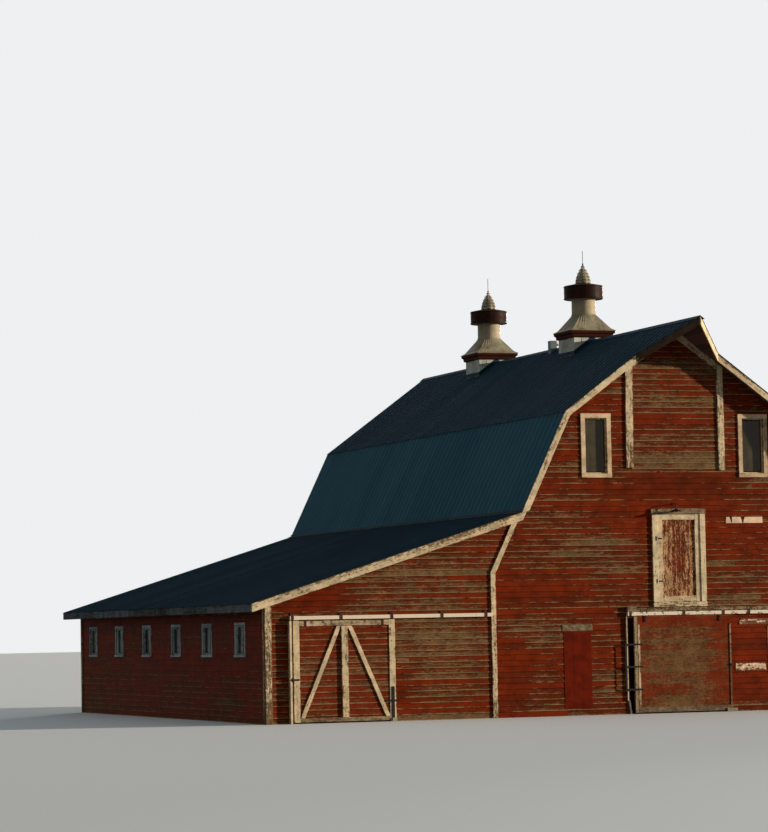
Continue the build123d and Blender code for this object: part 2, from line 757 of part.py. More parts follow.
def main_door():
    x0, x1 = main_leaf
    top = main_head - leaf_drop
    save("main_door", block(x0, x1, leaf_front, leaf_back, leaf_bottom, top))
    strip = x0 + edge_board + thin_strip_gap
    end = x1 - thin_strip_gap
    foot = leaf_bottom + main_foot_rail
    save("main_door_battens", on_leaf(x0, x0 + edge_board, leaf_bottom, top),
         on_leaf(strip, strip + thin_strip, foot, thin_strip_top),
         on_leaf(end - thin_strip, end, foot, thin_strip_top),
         on_leaf(x0 + edge_board, x1, leaf_bottom, foot))
    save("main_door_hangers", hanger(x0 + hanger_inset, main_head), hanger(x1 - hanger_inset, main_head))
    left, right = x0 - latch_reach[0], x0 + latch_reach[1]
    iron = batten_front - iron_depth
    latch = block(left, left + latch_upright, iron, batten_front, latch_bars[0], latch_bars[-1] + bar_height)
    for z in latch_bars:
        latch += block(left, right, iron, batten_front, z, z + bar_height)
    save("main_door_latch", latch)


header_depth = 45
header_height = 100
header_gap = 8              # over the track
header_end = 240
header_end_depth = 100
header_end_rise = 30


def tracks():
    x0, x1 = main_track
    main = track(x0, x1, main_head, main_collars)
    bottom = main_head + track_height + header_gap
    top = bottom + header_height
    plank = block(x0, x1, front - header_depth, front, bottom, top)
    end = block(x0, x0 + header_end, front - header_end_depth, front, bottom, top)
    end += block(x0, x0 + header_end, front - header_end_depth, front, top, top + header_end_rise)
    save("main_track_board", plank + end)
    x0, x1 = shed_track
    step = (x1 - x0) / shed_collar_spans
    collars = [x0 + step * i for i in range(1, shed_collar_spans)] + [x1 - last_collar]
    side = track(x0, x1, shed_head, collars)
    save("door_tracks", main, side)


stop_width = 52
main_stop_depth = 30
shed_stop_gap = 47
shed_stop_depth = 95
main_guide_width = 285
shed_guide_width = 120
guide_height = 150
guide_sheet = 12
guide_inset = 30            # outside the doorway


def door_stops():
    """The strip at the shutting edge of each doorway, and the guide that keeps a leaf's foot in."""
    right = main_doorway[0]
    pieces = [block(right - stop_width, right, front - main_stop_depth, front, 0, main_head - leaf_drop)]
    right = shed_leaf[0] - shed_stop_gap
    pieces.append(block(right - stop_width, right, front - shed_stop_depth, front, 0, shed_head - leaf_drop))
    lip_back = leaf_front - post_batten - clearance
    lip_front = lip_back - guide_sheet
    for doorway, width in ((main_doorway, main_guide_width), (shed_doorway, shed_guide_width)):
        x0 = doorway[1] + guide_inset
        foot = block(x0, x0 + width, lip_front, front, 0, guide_sheet)
        lip = block(x0, x0 + width, lip_front, lip_back, 0, guide_height)
        root = block(x0, x0 + width, front - guide_sheet, front, 0, guide_height)
        pieces.append(foot + lip + root)
    save("door_stops", *pieces)


# Boards fixed on the front wall beside the main door: left edge, width, bottom, height
patch_depth = 20
boarded_door_place = (-3220, 760, 180, 1950)
patches = [(-3255, 830, 2130, 175), (1700, 900, 2215, 155), (1560, 860, 1030, 195), (2500, 80, 950, 1200),
           (1390, 130, 4830, 160), (1560, 270, 4830, 160), (1900, 530, 4830, 160)]


def patch(place):
    left, width, bottom, height = place
    return block(left, left + width, front - patch_depth, front, bottom, bottom + height)


def wall_boards():
    save("boarded_door", patch(boarded_door_place))
    save("wall_boards", *[patch(place) for place in patches])


front_walls()
back_wall()
inner_walls()
shed_walls()
loft_floor()
main_roofs()
shed_roofs()
ridge_cap()
rake_boards()
corner_boards()
mow_door()
hay_door()
lamp()
all_windows()
shed_door()
main_door()
tracks()
door_stops()
wall_boards()
stub_vent()
ventilators()
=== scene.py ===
import random
from math import atan2, cos, hypot, pi, radians, sin

import bmesh
import bpy
from mathutils import Matrix, Vector


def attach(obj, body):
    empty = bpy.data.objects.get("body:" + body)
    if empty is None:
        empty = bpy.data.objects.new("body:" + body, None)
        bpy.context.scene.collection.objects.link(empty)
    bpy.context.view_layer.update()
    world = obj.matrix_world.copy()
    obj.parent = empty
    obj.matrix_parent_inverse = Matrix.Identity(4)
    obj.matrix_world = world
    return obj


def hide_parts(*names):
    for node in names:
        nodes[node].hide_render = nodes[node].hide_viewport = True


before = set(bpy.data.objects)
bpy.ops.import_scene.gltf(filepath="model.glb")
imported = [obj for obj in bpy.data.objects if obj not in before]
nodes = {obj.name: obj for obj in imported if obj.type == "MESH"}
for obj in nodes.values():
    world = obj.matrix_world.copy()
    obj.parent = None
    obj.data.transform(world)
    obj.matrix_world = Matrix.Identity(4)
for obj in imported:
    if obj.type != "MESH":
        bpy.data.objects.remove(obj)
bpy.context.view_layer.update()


# Framing and rough boarding
# The wall cores, the old side walls, the loft floor and the roof decks are rough-sawn softwood.
# They were never painted inside and have gone brown; they show in doorways and under the eaves.


def paint(*card):
    """A colour as on a colour card, three parts of 0 to 255, for a shader."""
    return tuple(c / 3294.6 if c <= 10 else ((c / 255 + 0.055) / 1.055) ** 2.4 for c in card) + (1.0,)


def new_finish(name):
    """A fresh material, its node tree, its shader, and the place on the piece."""
    made = bpy.data.materials.new(name)
    made.use_nodes = True
    tree = made.node_tree
    return made, tree, tree.nodes["Principled BSDF"], tree.nodes.new("ShaderNodeTexCoord").outputs["Object"]


def put(tree, value, socket):
    """Fills an input. A socket is linked, and a colour of three parts is one on a colour card."""
    if isinstance(value, bpy.types.NodeSocket):
        tree.links.new(value, socket)
    elif socket.type == "RGBA" and len(value) == 3:
        socket.default_value = paint(*value)
    elif value is not None:
        socket.default_value = value


def add(tree, kind, *inputs, **settings):
    """Adds a node and fills its inputs in order."""
    made = tree.nodes.new("ShaderNode" + kind)
    for name, value in settings.items():
        setattr(made, name, value)
    for socket, value in zip(made.inputs, inputs):
        put(tree, value, socket)
    return made.outputs[0]


def sum_of(tree, total, *others):
    for other in others:
        total = add(tree, "Math", total, other, operation="ADD")
    return total


def times(tree, first, second):
    return add(tree, "Math", first, second, operation="MULTIPLY")


def stretched(tree, vector, x, y, z):
    return add(tree, "VectorMath", vector, (x, y, z), operation="MULTIPLY")


def axes_of(tree, vector):
    split = tree.nodes.new("ShaderNodeSeparateXYZ")
    put(tree, vector, split.inputs[0])
    return split.outputs


def noise(tree, vector, scale=1.0, detail=4.0, roughness=0.6):
    return add(tree, "TexNoise", vector, None, scale, detail, roughness)


def between(tree, value, low, high, start=0.0, end=1.0):
    """Goes smoothly from start to end as the value goes from low to high."""
    return add(tree, "MapRange", value, low, high, start, end, interpolation_type="SMOOTHSTEP")


def blended(tree, share, first, second, kind="MIX"):
    made = tree.nodes.new("ShaderNodeMix")
    made.data_type, made.blend_type = "RGBA", kind
    for number, value in ((0, share), (6, first), (7, second)):
        put(tree, value, made.inputs[number])
    return made.outputs[2]


def finish(tree, shader, colour, rough, height, depth, metal=0.0, gloss=0.5):
    """Joins the colour, roughness and relief to the shader."""
    for name, value in (("Base Color", colour), ("Roughness", rough), ("Metallic", metal),
                        ("Specular IOR Level", gloss)):
        put(tree, value, shader.inputs[name])
    relief = tree.nodes.new("ShaderNodeBump")
    for name, value in (("Strength", 0.8), ("Distance", depth), ("Height", height)):
        put(tree, value, relief.inputs[name])
    put(tree, relief.outputs[0], shader.inputs["Normal"])


def rough_boards(name, across, width, light, dark):
    """Sawn boards laid side by side along one axis; across is 0, 1 or 2 for X, Y or Z."""
    made, tree, shader, place = new_finish(name)
    share = add(tree, "Math", axes_of(tree, place)[across], width, operation="DIVIDE")
    board = add(tree, "Math", share, operation="FLOOR")
    tone = add(tree, "TexWhiteNoise", None, board, noise_dimensions="1D")
    scale = [1.5, 1.5, 1.5]
    scale[across] = 40
    grain = noise(tree, stretched(tree, place, *scale), detail=5)
    shade = sum_of(tree, times(tree, tone, 0.5), times(tree, grain, 0.7))
    colour = blended(tree, between(tree, shade, 0.25, 0.95), dark, light)
    gap = add(tree, "Math", add(tree, "Math", share, operation="FRACT"), 0.04, operation="LESS_THAN")
    colour = blended(tree, times(tree, gap, 0.8), colour, (14, 9, 6))
    finish(tree, shader, colour, 0.88, sum_of(tree, grain, times(tree, gap, -3)), 0.003)
    return made


wall_lining = rough_boards("wall_lining", 2, 0.19, (112, 84, 60), (62, 44, 31))
deck_lining = rough_boards("deck_lining", 0, 0.16, (92, 58, 42), (48, 24, 16))
floor_lining = rough_boards("floor_lining", 1, 0.22, (128, 98, 70), (74, 54, 38))


def wear_finish(names, material):
    """Gives CAD nodes a finish."""
    for name in names:
        nodes[name].data.materials.clear()
        nodes[name].data.materials.append(material)


wear_finish(["front_wall_left", "front_wall_right", "front_wall_lintel", "front_gable", "back_wall",
             "left_inner_wall", "right_inner_wall", "left_shed_front_inner", "left_shed_front_outer",
             "left_shed_front_lintel", "right_shed_front_wall", "left_shed_back_wall", "right_shed_back_wall",
             "left_shed_side_wall", "right_shed_side_wall", "mow_door"], wall_lining)
wear_finish(["left_upper_roof", "right_upper_roof", "left_lower_roof", "right_lower_roof", "left_shed_roof",
             "right_shed_roof"], deck_lining)
wear_finish(["loft_floor"], floor_lining)


# Siding
# Lapped boards in courses of 143 mm, nailed over the wall and painted deep red long ago.
# The paint has worn off in streaks along the boards, most of all on the sheds and near the ground.
course = 0.143
lap = 0.022
butt = 0.016
front, back = -8.26, 9.63
main_half, shed_half = 5.18, 11.11
up = Vector((0, 0, 1))
saw = random.Random(7)


def start_boards():
    """An empty mesh whose boards carry a tone, their wear, their two edges, and a grain along them."""
    bm = bmesh.new()
    for layer in ("tone", "worn", "edge"):
        bm.verts.layers.float.new(layer)
    bm.loops.layers.uv.new("grain")
    return bm


def plank(bm, start, end, face, width, thick, cuts=(None, None), tip=None, worn=0.0, step=9.0, warp=0.0):
    """One sawn board. Start and end are the middle of its back, and face is the way it looks.
    Cuts are the directions its ends are sawn along, and tip is its thickness along the upper edge.
    Worn is its wear, the wear along its lower and upper edge, or a rule for the wear at a place."""
    start, end, face = Vector(start), Vector(end), Vector(face).normalized()
    length = (end - start).length
    along = (end - start) / length
    over = face.cross(along)
    turn = Matrix((along, over, face)).transposed()
    slants = [0.0 if cut is None else Vector(cut).dot(along) / Vector(cut).dot(over) for cut in cuts]
    verts = bmesh.ops.create_cube(bm, size=1)["verts"]
    joints = int(length / step)
    if joints:
        edges = [e for e in dict.fromkeys(e for v in verts for e in v.link_edges)
                 if abs(e.verts[0].co.x - e.verts[1].co.x) > 0.5]
        rings = bmesh.ops.subdivide_edges(bm, edges=edges, cuts=joints)["geom_inner"]
        rings = [v for v in rings if isinstance(v, bmesh.types.BMVert)]
        verts = list(dict.fromkeys(v for ring in rings for f in ring.link_faces for v in f.verts))
    layers = bm.verts.layers.float
    grain = bm.loops.layers.uv["grain"]
    tone, shift = saw.random(), saw.uniform(0, 60)
    for v in verts:
        x, y, z = v.co.x + 0.5, v.co.y, v.co.z + 0.5
        v[layers["tone"]], v[layers["edge"]] = tone, 2 * y
        if callable(worn):
            v[layers["worn"]] = worn(start + along * x * length)
        elif isinstance(worn, tuple):
            v[layers["worn"]] = worn[y > 0]
        else:
            v[layers["worn"]] = worn
        depth = tip if tip is not None and y > 0 else thick
        slant = slants[0] * (1 - x) + slants[1] * x
        v.co = (x * length + slant * y * width, y * width, z * (depth + saw.uniform(-warp, warp)))
    for f in {f for v in verts for f in v.link_faces}:
        for loop in f.loops:
            loop[grain].uv = (loop.vert.co.x + shift, loop.vert.co.y + width / 2)
    for v in verts:
        v.co = start + turn @ v.co
    return verts


def finish_piece(name, bm, material, replaces=(), ease=0.0, body="barn"):
    """Makes the mesh an object that rides on a body. Ease is how far its edges are rounded."""
    mesh = bpy.data.meshes.new(name)
    bm.to_mesh(mesh)
    bm.free()
    mesh.materials.append(material)
    made = bpy.data.objects.new(name, mesh)
    bpy.context.scene.collection.objects.link(made)
    if ease:
        eased = made.modifiers.new("eased_edges", "BEVEL")
        eased.width, eased.segments, eased.limit_method, eased.angle_limit = ease, 1, "ANGLE", radians(40)
    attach(made, body)
    if replaces:
        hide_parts(*replaces)
    return made


def lay_siding(bm, along, wall, start, end, low, high, worn, depth=butt):
    """Courses of boards on a wall. Along runs to the right as one faces it; start and end lie on it."""
    along = Vector(along)
    face = along.cross(up)
    level = low
    while level < high:
        u = start
        joint = start + saw.uniform(0.8, 4.6)
        while u < end:
            stop = end if end - joint < 0.6 else joint
            middle = up * (level + (course + lap) / 2) + face * wall
            plank(bm, along * (u + 0.0015) + middle, along * (stop - 0.0015) + middle, face, course + lap,
                  depth, tip=depth / 4, worn=worn, step=0.7, warp=depth / 8)
            u, joint = stop, stop + saw.uniform(2.2, 4.9)
        level += course
    return bm


def cut_out(bm, along, u0, u1, z0, z1):
    """Saws an opening through the boards."""
    along = Vector(along)
    for point, normal in ((along * u0, along), (along * u1, along), (up * z0, up), (up * z1, up)):
        near = [f for f in bm.faces
                if min(v.co.dot(along) for v in f.verts) < u1 and max(v.co.dot(along) for v in f.verts) > u0
                and min(v.co.z for v in f.verts) < z1 and max(v.co.z for v in f.verts) > z0]
        near += list({e for f in near for e in f.edges}) + list({v for f in near for v in f.verts})
        bmesh.ops.bisect_plane(bm, geom=near, dist=0.0001, plane_co=point, plane_no=normal)
    inside = [f for f in bm.faces if u0 < f.calc_center_median().dot(along) < u1
              and z0 < f.calc_center_median().z < z1]
    bmesh.ops.delete(bm, geom=inside, context="FACES")


# A roof line is its height over the middle of the barn and its fall per metre outwards.
ridge = 10.0
upper_roof = (ridge, 0.72841)
lower_roof = (14.22562, 2.05514)
shed_roof = (6.48860, 0.30601)
roof_depth = 0.1


def height(line, x):
    return line[0] - line[1] * x


def lowered(line, depth):
    """A roof line moved square to itself."""
    return line[0] - depth * hypot(1, line[1]), line[1]


def crossing(first, second):
    x = (first[0] - second[0]) / (first[1] - second[1])
    return x, height(first, x)


def saw_along(bm, along, line, side, keep="below"):
    """Saws boards off along a roof line on one side of the ridge, and keeps what lies below or above it."""
    normal = Vector(along) * line[1] * side + up
    bmesh.ops.bisect_plane(bm, geom=bm.verts[:] + bm.edges[:] + bm.faces[:], dist=0.0001,
                           plane_co=up * line[0], plane_no=normal, clear_outer=keep == "below",
                           clear_inner=keep == "above")


def mesh_value(tree, name):
    """A value that the mesh carries."""
    made = tree.nodes.new("ShaderNodeAttribute")
    made.attribute_name = name
    return made.outputs["Fac"]


def shaded(tree, colour, amount):
    """A colour made darker or lighter."""
    return blended(tree, 1.0, colour, add(tree, "CombineColor", amount, amount, amount), "MULTIPLY")


def weathered(name, fresh, faded, bare, dark, wear, laps=False, streak=(3.2, 27), fleck=0.0, rim=0.16,
              uneven=1.0):
    """Old paint on boards. It wears through in thin streaks along the grain and along the edges,
    goes thin and brownish around them, and leaves grey-brown wood; under each lap a darker band
    is painted, partly dirt and partly painted shade. Uneven is how much one board differs from the next."""
    made, tree, shader, place = new_finish(name)
    along, across, _ = axes_of(tree, place.node.outputs["UV"])
    tone, worn = mesh_value(tree, "tone"), mesh_value(tree, "worn")
    where = add(tree, "CombineXYZ", along, across, times(tree, tone, 60.0))
    streaks = noise(tree, stretched(tree, where, streak[0], streak[1], 1), detail=5, roughness=0.64)
    fine = noise(tree, stretched(tree, where, streak[0] * 3.5, streak[1] * 3, 1), detail=4, roughness=0.7)
    grain = noise(tree, stretched(tree, where, 9, 190, 1), detail=3)
    patches = noise(tree, place, 0.55, 3)
    share = sum_of(tree, streaks, times(tree, fine, 0.8), times(tree, patches, 0.4),
                   times(tree, tone, 0.24 * uneven), worn)
    level = 1.42 - wear
    if fleck:
        flecks = noise(tree, stretched(tree, place, fleck, fleck, fleck), detail=6, roughness=0.74)
        share = sum_of(tree, share, times(tree, flecks, 1.1))
        level += 0.55
    if laps:
        broken = between(tree, noise(tree, stretched(tree, where, 1.5, 2, 1), detail=6), 0.42, 0.58, 0.3, 1.0)
        broken = times(tree, broken, between(tree, worn, -0.12, 0.12, 0.35, 1.0))
        low_edge = times(tree, between(tree, across, 0.008, 0.034, 1.0, 0.0), broken)
        share = sum_of(tree, share, times(tree, low_edge, 0.31), times(tree, across, -1.3))
        level -= 0.06
    else:
        side = add(tree, "Math", mesh_value(tree, "edge"), operation="ABSOLUTE")
        share = sum_of(tree, share, between(tree, side, 0.72, 1.0, 0.0, rim))
    thin = between(tree, share, level - 0.16, level)
    gone = between(tree, share, level - 0.03, level + 0.07)
    age = sum_of(tree, times(tree, tone, 0.5 * uneven), times(tree, patches, 0.9))
    colour = blended(tree, between(tree, age, 0.4, 1.0), fresh, faded)
    colour = blended(tree, times(tree, thin, 0.6), colour, blended(tree, 0.4, faded, dark))
    wood = blended(tree, between(tree, sum_of(tree, grain, times(tree, fine, 0.6)), 0.62, 0.98), dark, bare)
    if laps:
        pale = tuple(min(1.0, 1.55 * part) for part in paint(*bare)[:3]) + (1.0,)
        wood = blended(tree, between(tree, across, 0.006, 0.02, 0.75, 0.0), wood, pale)
    colour = blended(tree, gone, colour, wood)
    stain = noise(tree, stretched(tree, place, 2.4, 2.4, 3.2), detail=6, roughness=0.7)
    colour = shaded(tree, colour, between(tree, stain, 0.36, 0.64, 0.74, 1.16))
    # Painted shade: a dark band under each lap, partly dirt and partly the shade that the lap casts.
    if laps:
        colour = shaded(tree, colour, between(tree, across, course - 0.024, course - 0.004, 1.0, 0.42))
    relief = sum_of(tree, times(tree, gone, -0.7), times(tree, grain, 0.6))
    finish(tree, shader, colour, between(tree, gone, 0, 1, 0.66, 0.94), relief, 0.0016, gloss=0.02)
    return made


red_siding = weathered("red_siding", (113, 36, 8), (91, 32, 9), (130, 101, 67), (80, 57, 36),
                       0.0, laps=True)


def wear_by(patches, base):
    """How worn boards are at a point: a base, and worn or sound areas as (x, z, reach, height, amount)."""
    def worn(point):
        total = base
        for x, z, reach, height, amount in patches:
            away = ((point.x - x) / reach) ** 2 + ((point.z - z) / height) ** 2
            total += amount * max(0.0, 1 - away)
        return total
    return worn


front_wear = wear_by([
    (-2.1, 4.42, 1.6, 0.32, 0.20), (-2.05, 4.43, 1.5, 0.09, 0.34), (-2.94, 4.08, 0.5, 0.09, 0.42),
    (-1.6, 3.65, 0.9, 0.09, 0.34), (-1.5, 3.75, 1.0, 0.55, 0.12), (-1.2, 3.02, 0.6, 0.09, 0.36),
    (-1.93, 0.80, 0.55, 0.60, 0.24), (1.15, 3.77, 0.7, 0.09, 0.34), (1.4, 3.6, 0.9, 0.70, 0.10),
    (1.7, 2.87, 1.3, 0.14, 0.34), (-3.05, 6.95, 0.7, 0.25, 0.30), (-3.0, 6.30, 0.7, 0.09, 0.36),
    (-1.5, 8.60, 0.5, 0.50, 0.26), (-1.7, 8.22, 0.5, 0.09, 0.34), (-0.4, 5.48, 0.95, 0.09, 0.24),
    (1.85, 5.85, 0.6, 0.10, 0.24), (2.4, 5.95, 0.7, 0.30, 0.26), (2.3, 5.25, 0.9, 0.25, 0.18),
    (0.0, 5.78, 2.5, 0.45, -0.24), (0.0, 5.2, 3.2, 0.30, -0.10), (-4.9, 1.1, 0.6, 1.20, -0.30),
    (-4.1, 3.2, 1.2, 0.50, -0.14), (-3.8, 4.9, 1.1, 0.80, 0.10), (-3.9, 2.2, 1.3, 0.70, 0.12),
    (2.0, 1.2, 1.3, 1.30, -0.22), (2.0, 0.22, 0.8, 0.10, 0.40), (3.8, 6.4, 1.0, 0.80, 0.14),
    (3.6, 3.4, 1.5, 0.60, 0.12), (4.2, 1.0, 1.0, 0.70, 0.16)], 0.02)
shed_wear = wear_by([
    (-10.1, 3.15, 1.5, 0.50, -0.42), (-6.7, 3.62, 2.0, 0.09, 0.50), (-7.3, 3.05, 2.6, 0.45, 0.10),
    (-6.6, 1.9, 1.7, 1.0, 0.16), (-7.6, 0.95, 0.5, 0.80, -0.24), (-6.4, 0.07, 1.6, 0.12, 0.30),
    (-10.8, 1.2, 0.5, 1.5, 0.08), (-6.3, 4.15, 1.6, 0.35, -0.06)], 0.15)
plain_wear = wear_by([], 0.03)
window_wear = wear_by([(0, 0.3, 60.0, 1.3, 0.20)], -0.08)

upper_soffit, lower_soffit, shed_soffit = [lowered(line, roof_depth) for line in (upper_roof, lower_roof,
                                                                                  shed_roof)]
valley = crossing(lower_soffit, shed_soffit)


def gable_siding(name, along, wall, worn, openings):
    """The gable of the old barn, up to the underside of its roof."""
    boards = start_boards()
    lay_siding(boards, along, wall, -main_half, main_half, 0.0, 9.95, worn)
    for side in (-1, 1):
        saw_along(boards, along, upper_soffit, side)
        saw_along(boards, along, lower_soffit, side)
    for opening in openings:
        cut_out(boards, along, *opening)
    return finish_piece(name, boards, red_siding)


def shed_siding(name, along, wall, side, worn, openings):
    """One end of a shed, with the wedge that runs up between the two roofs."""
    boards = start_boards()
    lay_siding(boards, along, wall, *sorted((side * main_half, side * shed_half)), 0.0, 5.0, worn)
    for opening in openings:
        cut_out(boards, along, *opening)
    wedge = start_boards()
    lay_siding(wedge, along, wall, *sorted((side * main_half, side * valley[0])), 23 * course, 5.1, worn)
    saw_along(wedge, along, lower_soffit, side, "above")
    spare = bpy.data.meshes.new("wedge")
    wedge.to_mesh(spare)
    wedge.free()
    boards.from_mesh(spare)
    bpy.data.meshes.remove(spare)
    saw_along(boards, along, shed_soffit, side)
    return finish_piece(name, boards, red_siding)


loft_sill, loft_head = 6.015, 7.635
loft_openings = [(-2.61, -1.81, loft_sill, loft_head), (1.81, 2.61, loft_sill, loft_head)]
main_doorway, hay_doorway = (-1.424, 1.216, -0.1, 2.42), (-0.70, 0.76, 2.715, 5.20)
mow_half, mow_sill, small_hole = 1.22, 6.235, (-4.573, -4.47, 4.586, 4.826)
gable_siding("front_siding", (1, 0, 0), -front, front_wear,
             loft_openings + [main_doorway, hay_doorway, (-mow_half, mow_half, mow_sill, ridge), small_hole])
gable_siding("back_siding", (-1, 0, 0), back, plain_wear, loft_openings)
shed_siding("left_shed_front_siding", (1, 0, 0), -front, -1, shed_wear, [(-10.29, -7.92, -0.1, 2.42)])
shed_siding("right_shed_front_siding", (1, 0, 0), -front, 1, plain_wear, [])
shed_siding("left_shed_back_siding", (-1, 0, 0), back, 1, plain_wear, [])
shed_siding("right_shed_back_siding", (-1, 0, 0), back, -1, plain_wear, [])

first_window, window_pitch = front + 2.035, 2.883
window_ys = [first_window + window_pitch * i for i in range(6)]
for name, side in (("left_side_siding", -1), ("right_side_siding", 1)):
    boards = start_boards()
    along = (0, side, 0)
    lay_siding(boards, along, shed_half, *sorted((side * (front + 0.02), side * (back - 0.02))), 0.0,
               height(shed_soffit, shed_half) + 0.05, window_wear)
    for y in window_ys:
        cut_out(boards, along, side * y - 0.42, side * y + 0.42, 1.645, 2.495)
    cut_out(boards, along, -10, 10, height(shed_soffit, shed_half + butt), 4)
    finish_piece(name, boards, red_siding)


# Mow door
# The tall door under the hood is boarded like the wall around it, flush with it. Two sawn posts stand
# beside it and two slanting boards close it under the soffit. Its lowest boards have lost their paint.
boards = start_boards()
lay_siding(boards, (1, 0, 0), -front, -1.217, 1.20, mow_sill, 9.9,
           wear_by([(0, 6.42, 3.5, 0.42, 0.24), (0.9, 6.3, 0.9, 0.12, 0.2), (0, 8.5, 2.5, 0.9, 0.12),
                    (0, 7.45, 2.5, 0.45, -0.10)], 0.12))
for side in (-1, 1):
    saw_along(boards, (1, 0, 0), upper_soffit, side)
finish_piece("mow_door_siding", boards, red_siding)

trim_paint = weathered("trim_paint", (214, 190, 152), (194, 168, 128), (134, 106, 76), (66, 48, 34), 0.05,
                       streak=(2.2, 18), fleck=13.0, rim=0.14, uneven=0.45)
plumb, level = (0, 0, 1), (1, 0, 0)
post_depth, trim_depth = 0.048, 0.040


def sawn(bm, x0, z0, x1, z1, width, thick, y=front, step=0.5, warp=0.001, **more):
    """A sawn board on the front, its middle line from (x0, z0) to (x1, z1) and its back at y."""
    plank(bm, (x0, y, z0), (x1, y, z1), (0, -1, 0), width, thick, step=step, warp=warp, **more)


posts = start_boards()
for x_foot, x_head, foot, width in ((-1.285, -1.256, 6.265, 0.205), (1.306, 1.304, 6.195, 0.18)):
    under_soffit = (1, 0, -upper_roof[1] if x_head > 0 else upper_roof[1])
    sawn(posts, x_foot, foot, x_head, height(upper_soffit, abs(x_head)) - 0.01, width, post_depth,
         cuts=(None, under_soffit), worn=lambda place: 0.20 if place.z < 6.8 else 0.13)
finish_piece("mow_door_posts", posts, trim_paint, ["mow_door_trim"], ease=0.004)
slants = start_boards()
slant_width = 0.166
slant_line = lowered(upper_soffit, slant_width / 2)
for side, reach in ((-1, 1.17), (1, 1.21)):
    sawn(slants, 0, height(slant_line, 0), side * reach, height(slant_line, reach), slant_width, trim_depth,
         cuts=(plumb, plumb), worn=0.1, step=0.4)
finish_piece("mow_door_slants", slants, trim_paint, ease=0.004)

# Corner and joint boards
# Sawn boards cap the outer corners of the sheds and cover the joint between old barn and shed.
# They are nailed over the siding, and their cream paint is flaking.
corners = start_boards()
corner_width, joint_width = 0.178, 0.13
joint_middle, joint_knee, joint_lean, joint_head = 5.115, 3.62, 4.441, 5.005


def foot_wear(place):
    """Splash from the ground strips the lowest half metre."""
    return 0.26 + max(0.0, 0.28 - 0.5 * place.z)


def joint_wear(place):
    """The joint boards are flaky up to the knee, and worst at their feet."""
    return (0.10 if place.z < 3.5 else 0.0) + max(0.0, 0.17 - 0.14 * place.z)


for wall_y, out in ((front, -1), (back, 1)):
    for side in (-1, 1):
        top = height(shed_soffit, shed_half)
        x, y = side * (shed_half - 0.061), wall_y - out * 0.075
        plank(corners, (x, wall_y, 0), (x, wall_y, top), (0, out, 0), corner_width, trim_depth,
              cuts=(None, (1, 0, -side * shed_soffit[1])), worn=foot_wear, step=0.4, warp=0.001)
        plank(corners, (side * shed_half, y, 0), (side * shed_half, y, top), (side, 0, 0), 0.15,
              trim_depth - 0.001, worn=foot_wear, step=0.4, warp=0.001)
        knee = (side * joint_middle, wall_y, joint_knee)
        mitre = (side * 0.974, 0, 0.2246)
        plank(corners, (side * joint_middle, wall_y, 0), knee, (0, out, 0), joint_width, post_depth,
              cuts=(None, mitre), worn=joint_wear, step=0.4, warp=0.001)
        plank(corners, knee, (side * joint_lean, wall_y, joint_head), (0, out, 0), joint_width, post_depth,
              cuts=(mitre, level), step=0.4, warp=0.001)
finish_piece("corner_and_joint_trim", corners, trim_paint, ["corner_boards"], ease=0.004)

# Rake, hood and eave boards
# Boards close the ends of the roof on both gables, run out along the hood's slanting edges,
# and hang as fascias along the low eaves. They are nailed to the ends of the roof boarding.
rake_front, rake_back = -8.63, 10.0
hood_half, hood_tip = 1.12, -10.0
knee_top = crossing(upper_roof, lower_roof)
rake_width, rake_thick = 0.165, 0.029
shed_rake_width, shed_rake_thick, eave_end = 0.20, 0.026, 11.556
rakes = start_boards()
for y, out in ((rake_front + 0.027, -1), (rake_back - 0.027, 1)):
    for side in (-1, 1):
        worn = (-0.04, 0.21) if side * out < 0 else (0.21, -0.04)
        centre_up, centre_low = lowered(upper_roof, rake_width / 2), lowered(lower_roof, rake_width / 2)
        knee = crossing(centre_up, centre_low)
        mitre = (side * (knee_top[0] - knee[0]), 0, knee_top[1] - knee[1])
        start_x = (hood_half + 0.07 * (side < 0)) if out < 0 else 0.0
        plank(rakes, (side * start_x, y, height(centre_up, start_x)), (side * knee[0], y, knee[1]),
              (0, out, 0), rake_width, rake_thick, cuts=(plumb, mitre), worn=worn, step=0.6, warp=0.0012)
        foot = crossing(centre_low, lowered(shed_roof, 0.02))
        plank(rakes, (side * knee[0], y, knee[1]), (side * foot[0], y, foot[1]), (0, out, 0), rake_width,
              rake_thick, cuts=(mitre, (side, 0, -shed_roof[1])), worn=worn, step=0.6, warp=0.0012)
        centre_shed = lowered(shed_roof, shed_rake_width / 2)
        places = (foot[0] + 0.01, 6.95, eave_end)
        ends = ((side * 0.43, 0, -0.9), plumb, plumb)
        for i in range(2):
            x0, x1 = places[i] + 0.002 * i, places[i + 1]
            plank(rakes, (side * x0, y, height(centre_shed, x0)), (side * x1, y, height(centre_shed, x1)),
                  (0, out, 0), shed_rake_width, shed_rake_thick, cuts=(ends[i], ends[i + 1]), worn=worn,
                  step=0.6, warp=0.0012)
finish_piece("rake_trim", rakes, trim_paint, ["main_rake_boards", "shed_rake_boards"], ease=0.004)


def hood_side(side):
    """The way that the hood's slanting edge faces."""
    return Vector((side * (rake_front - hood_tip), -hood_half, 0)).normalized()


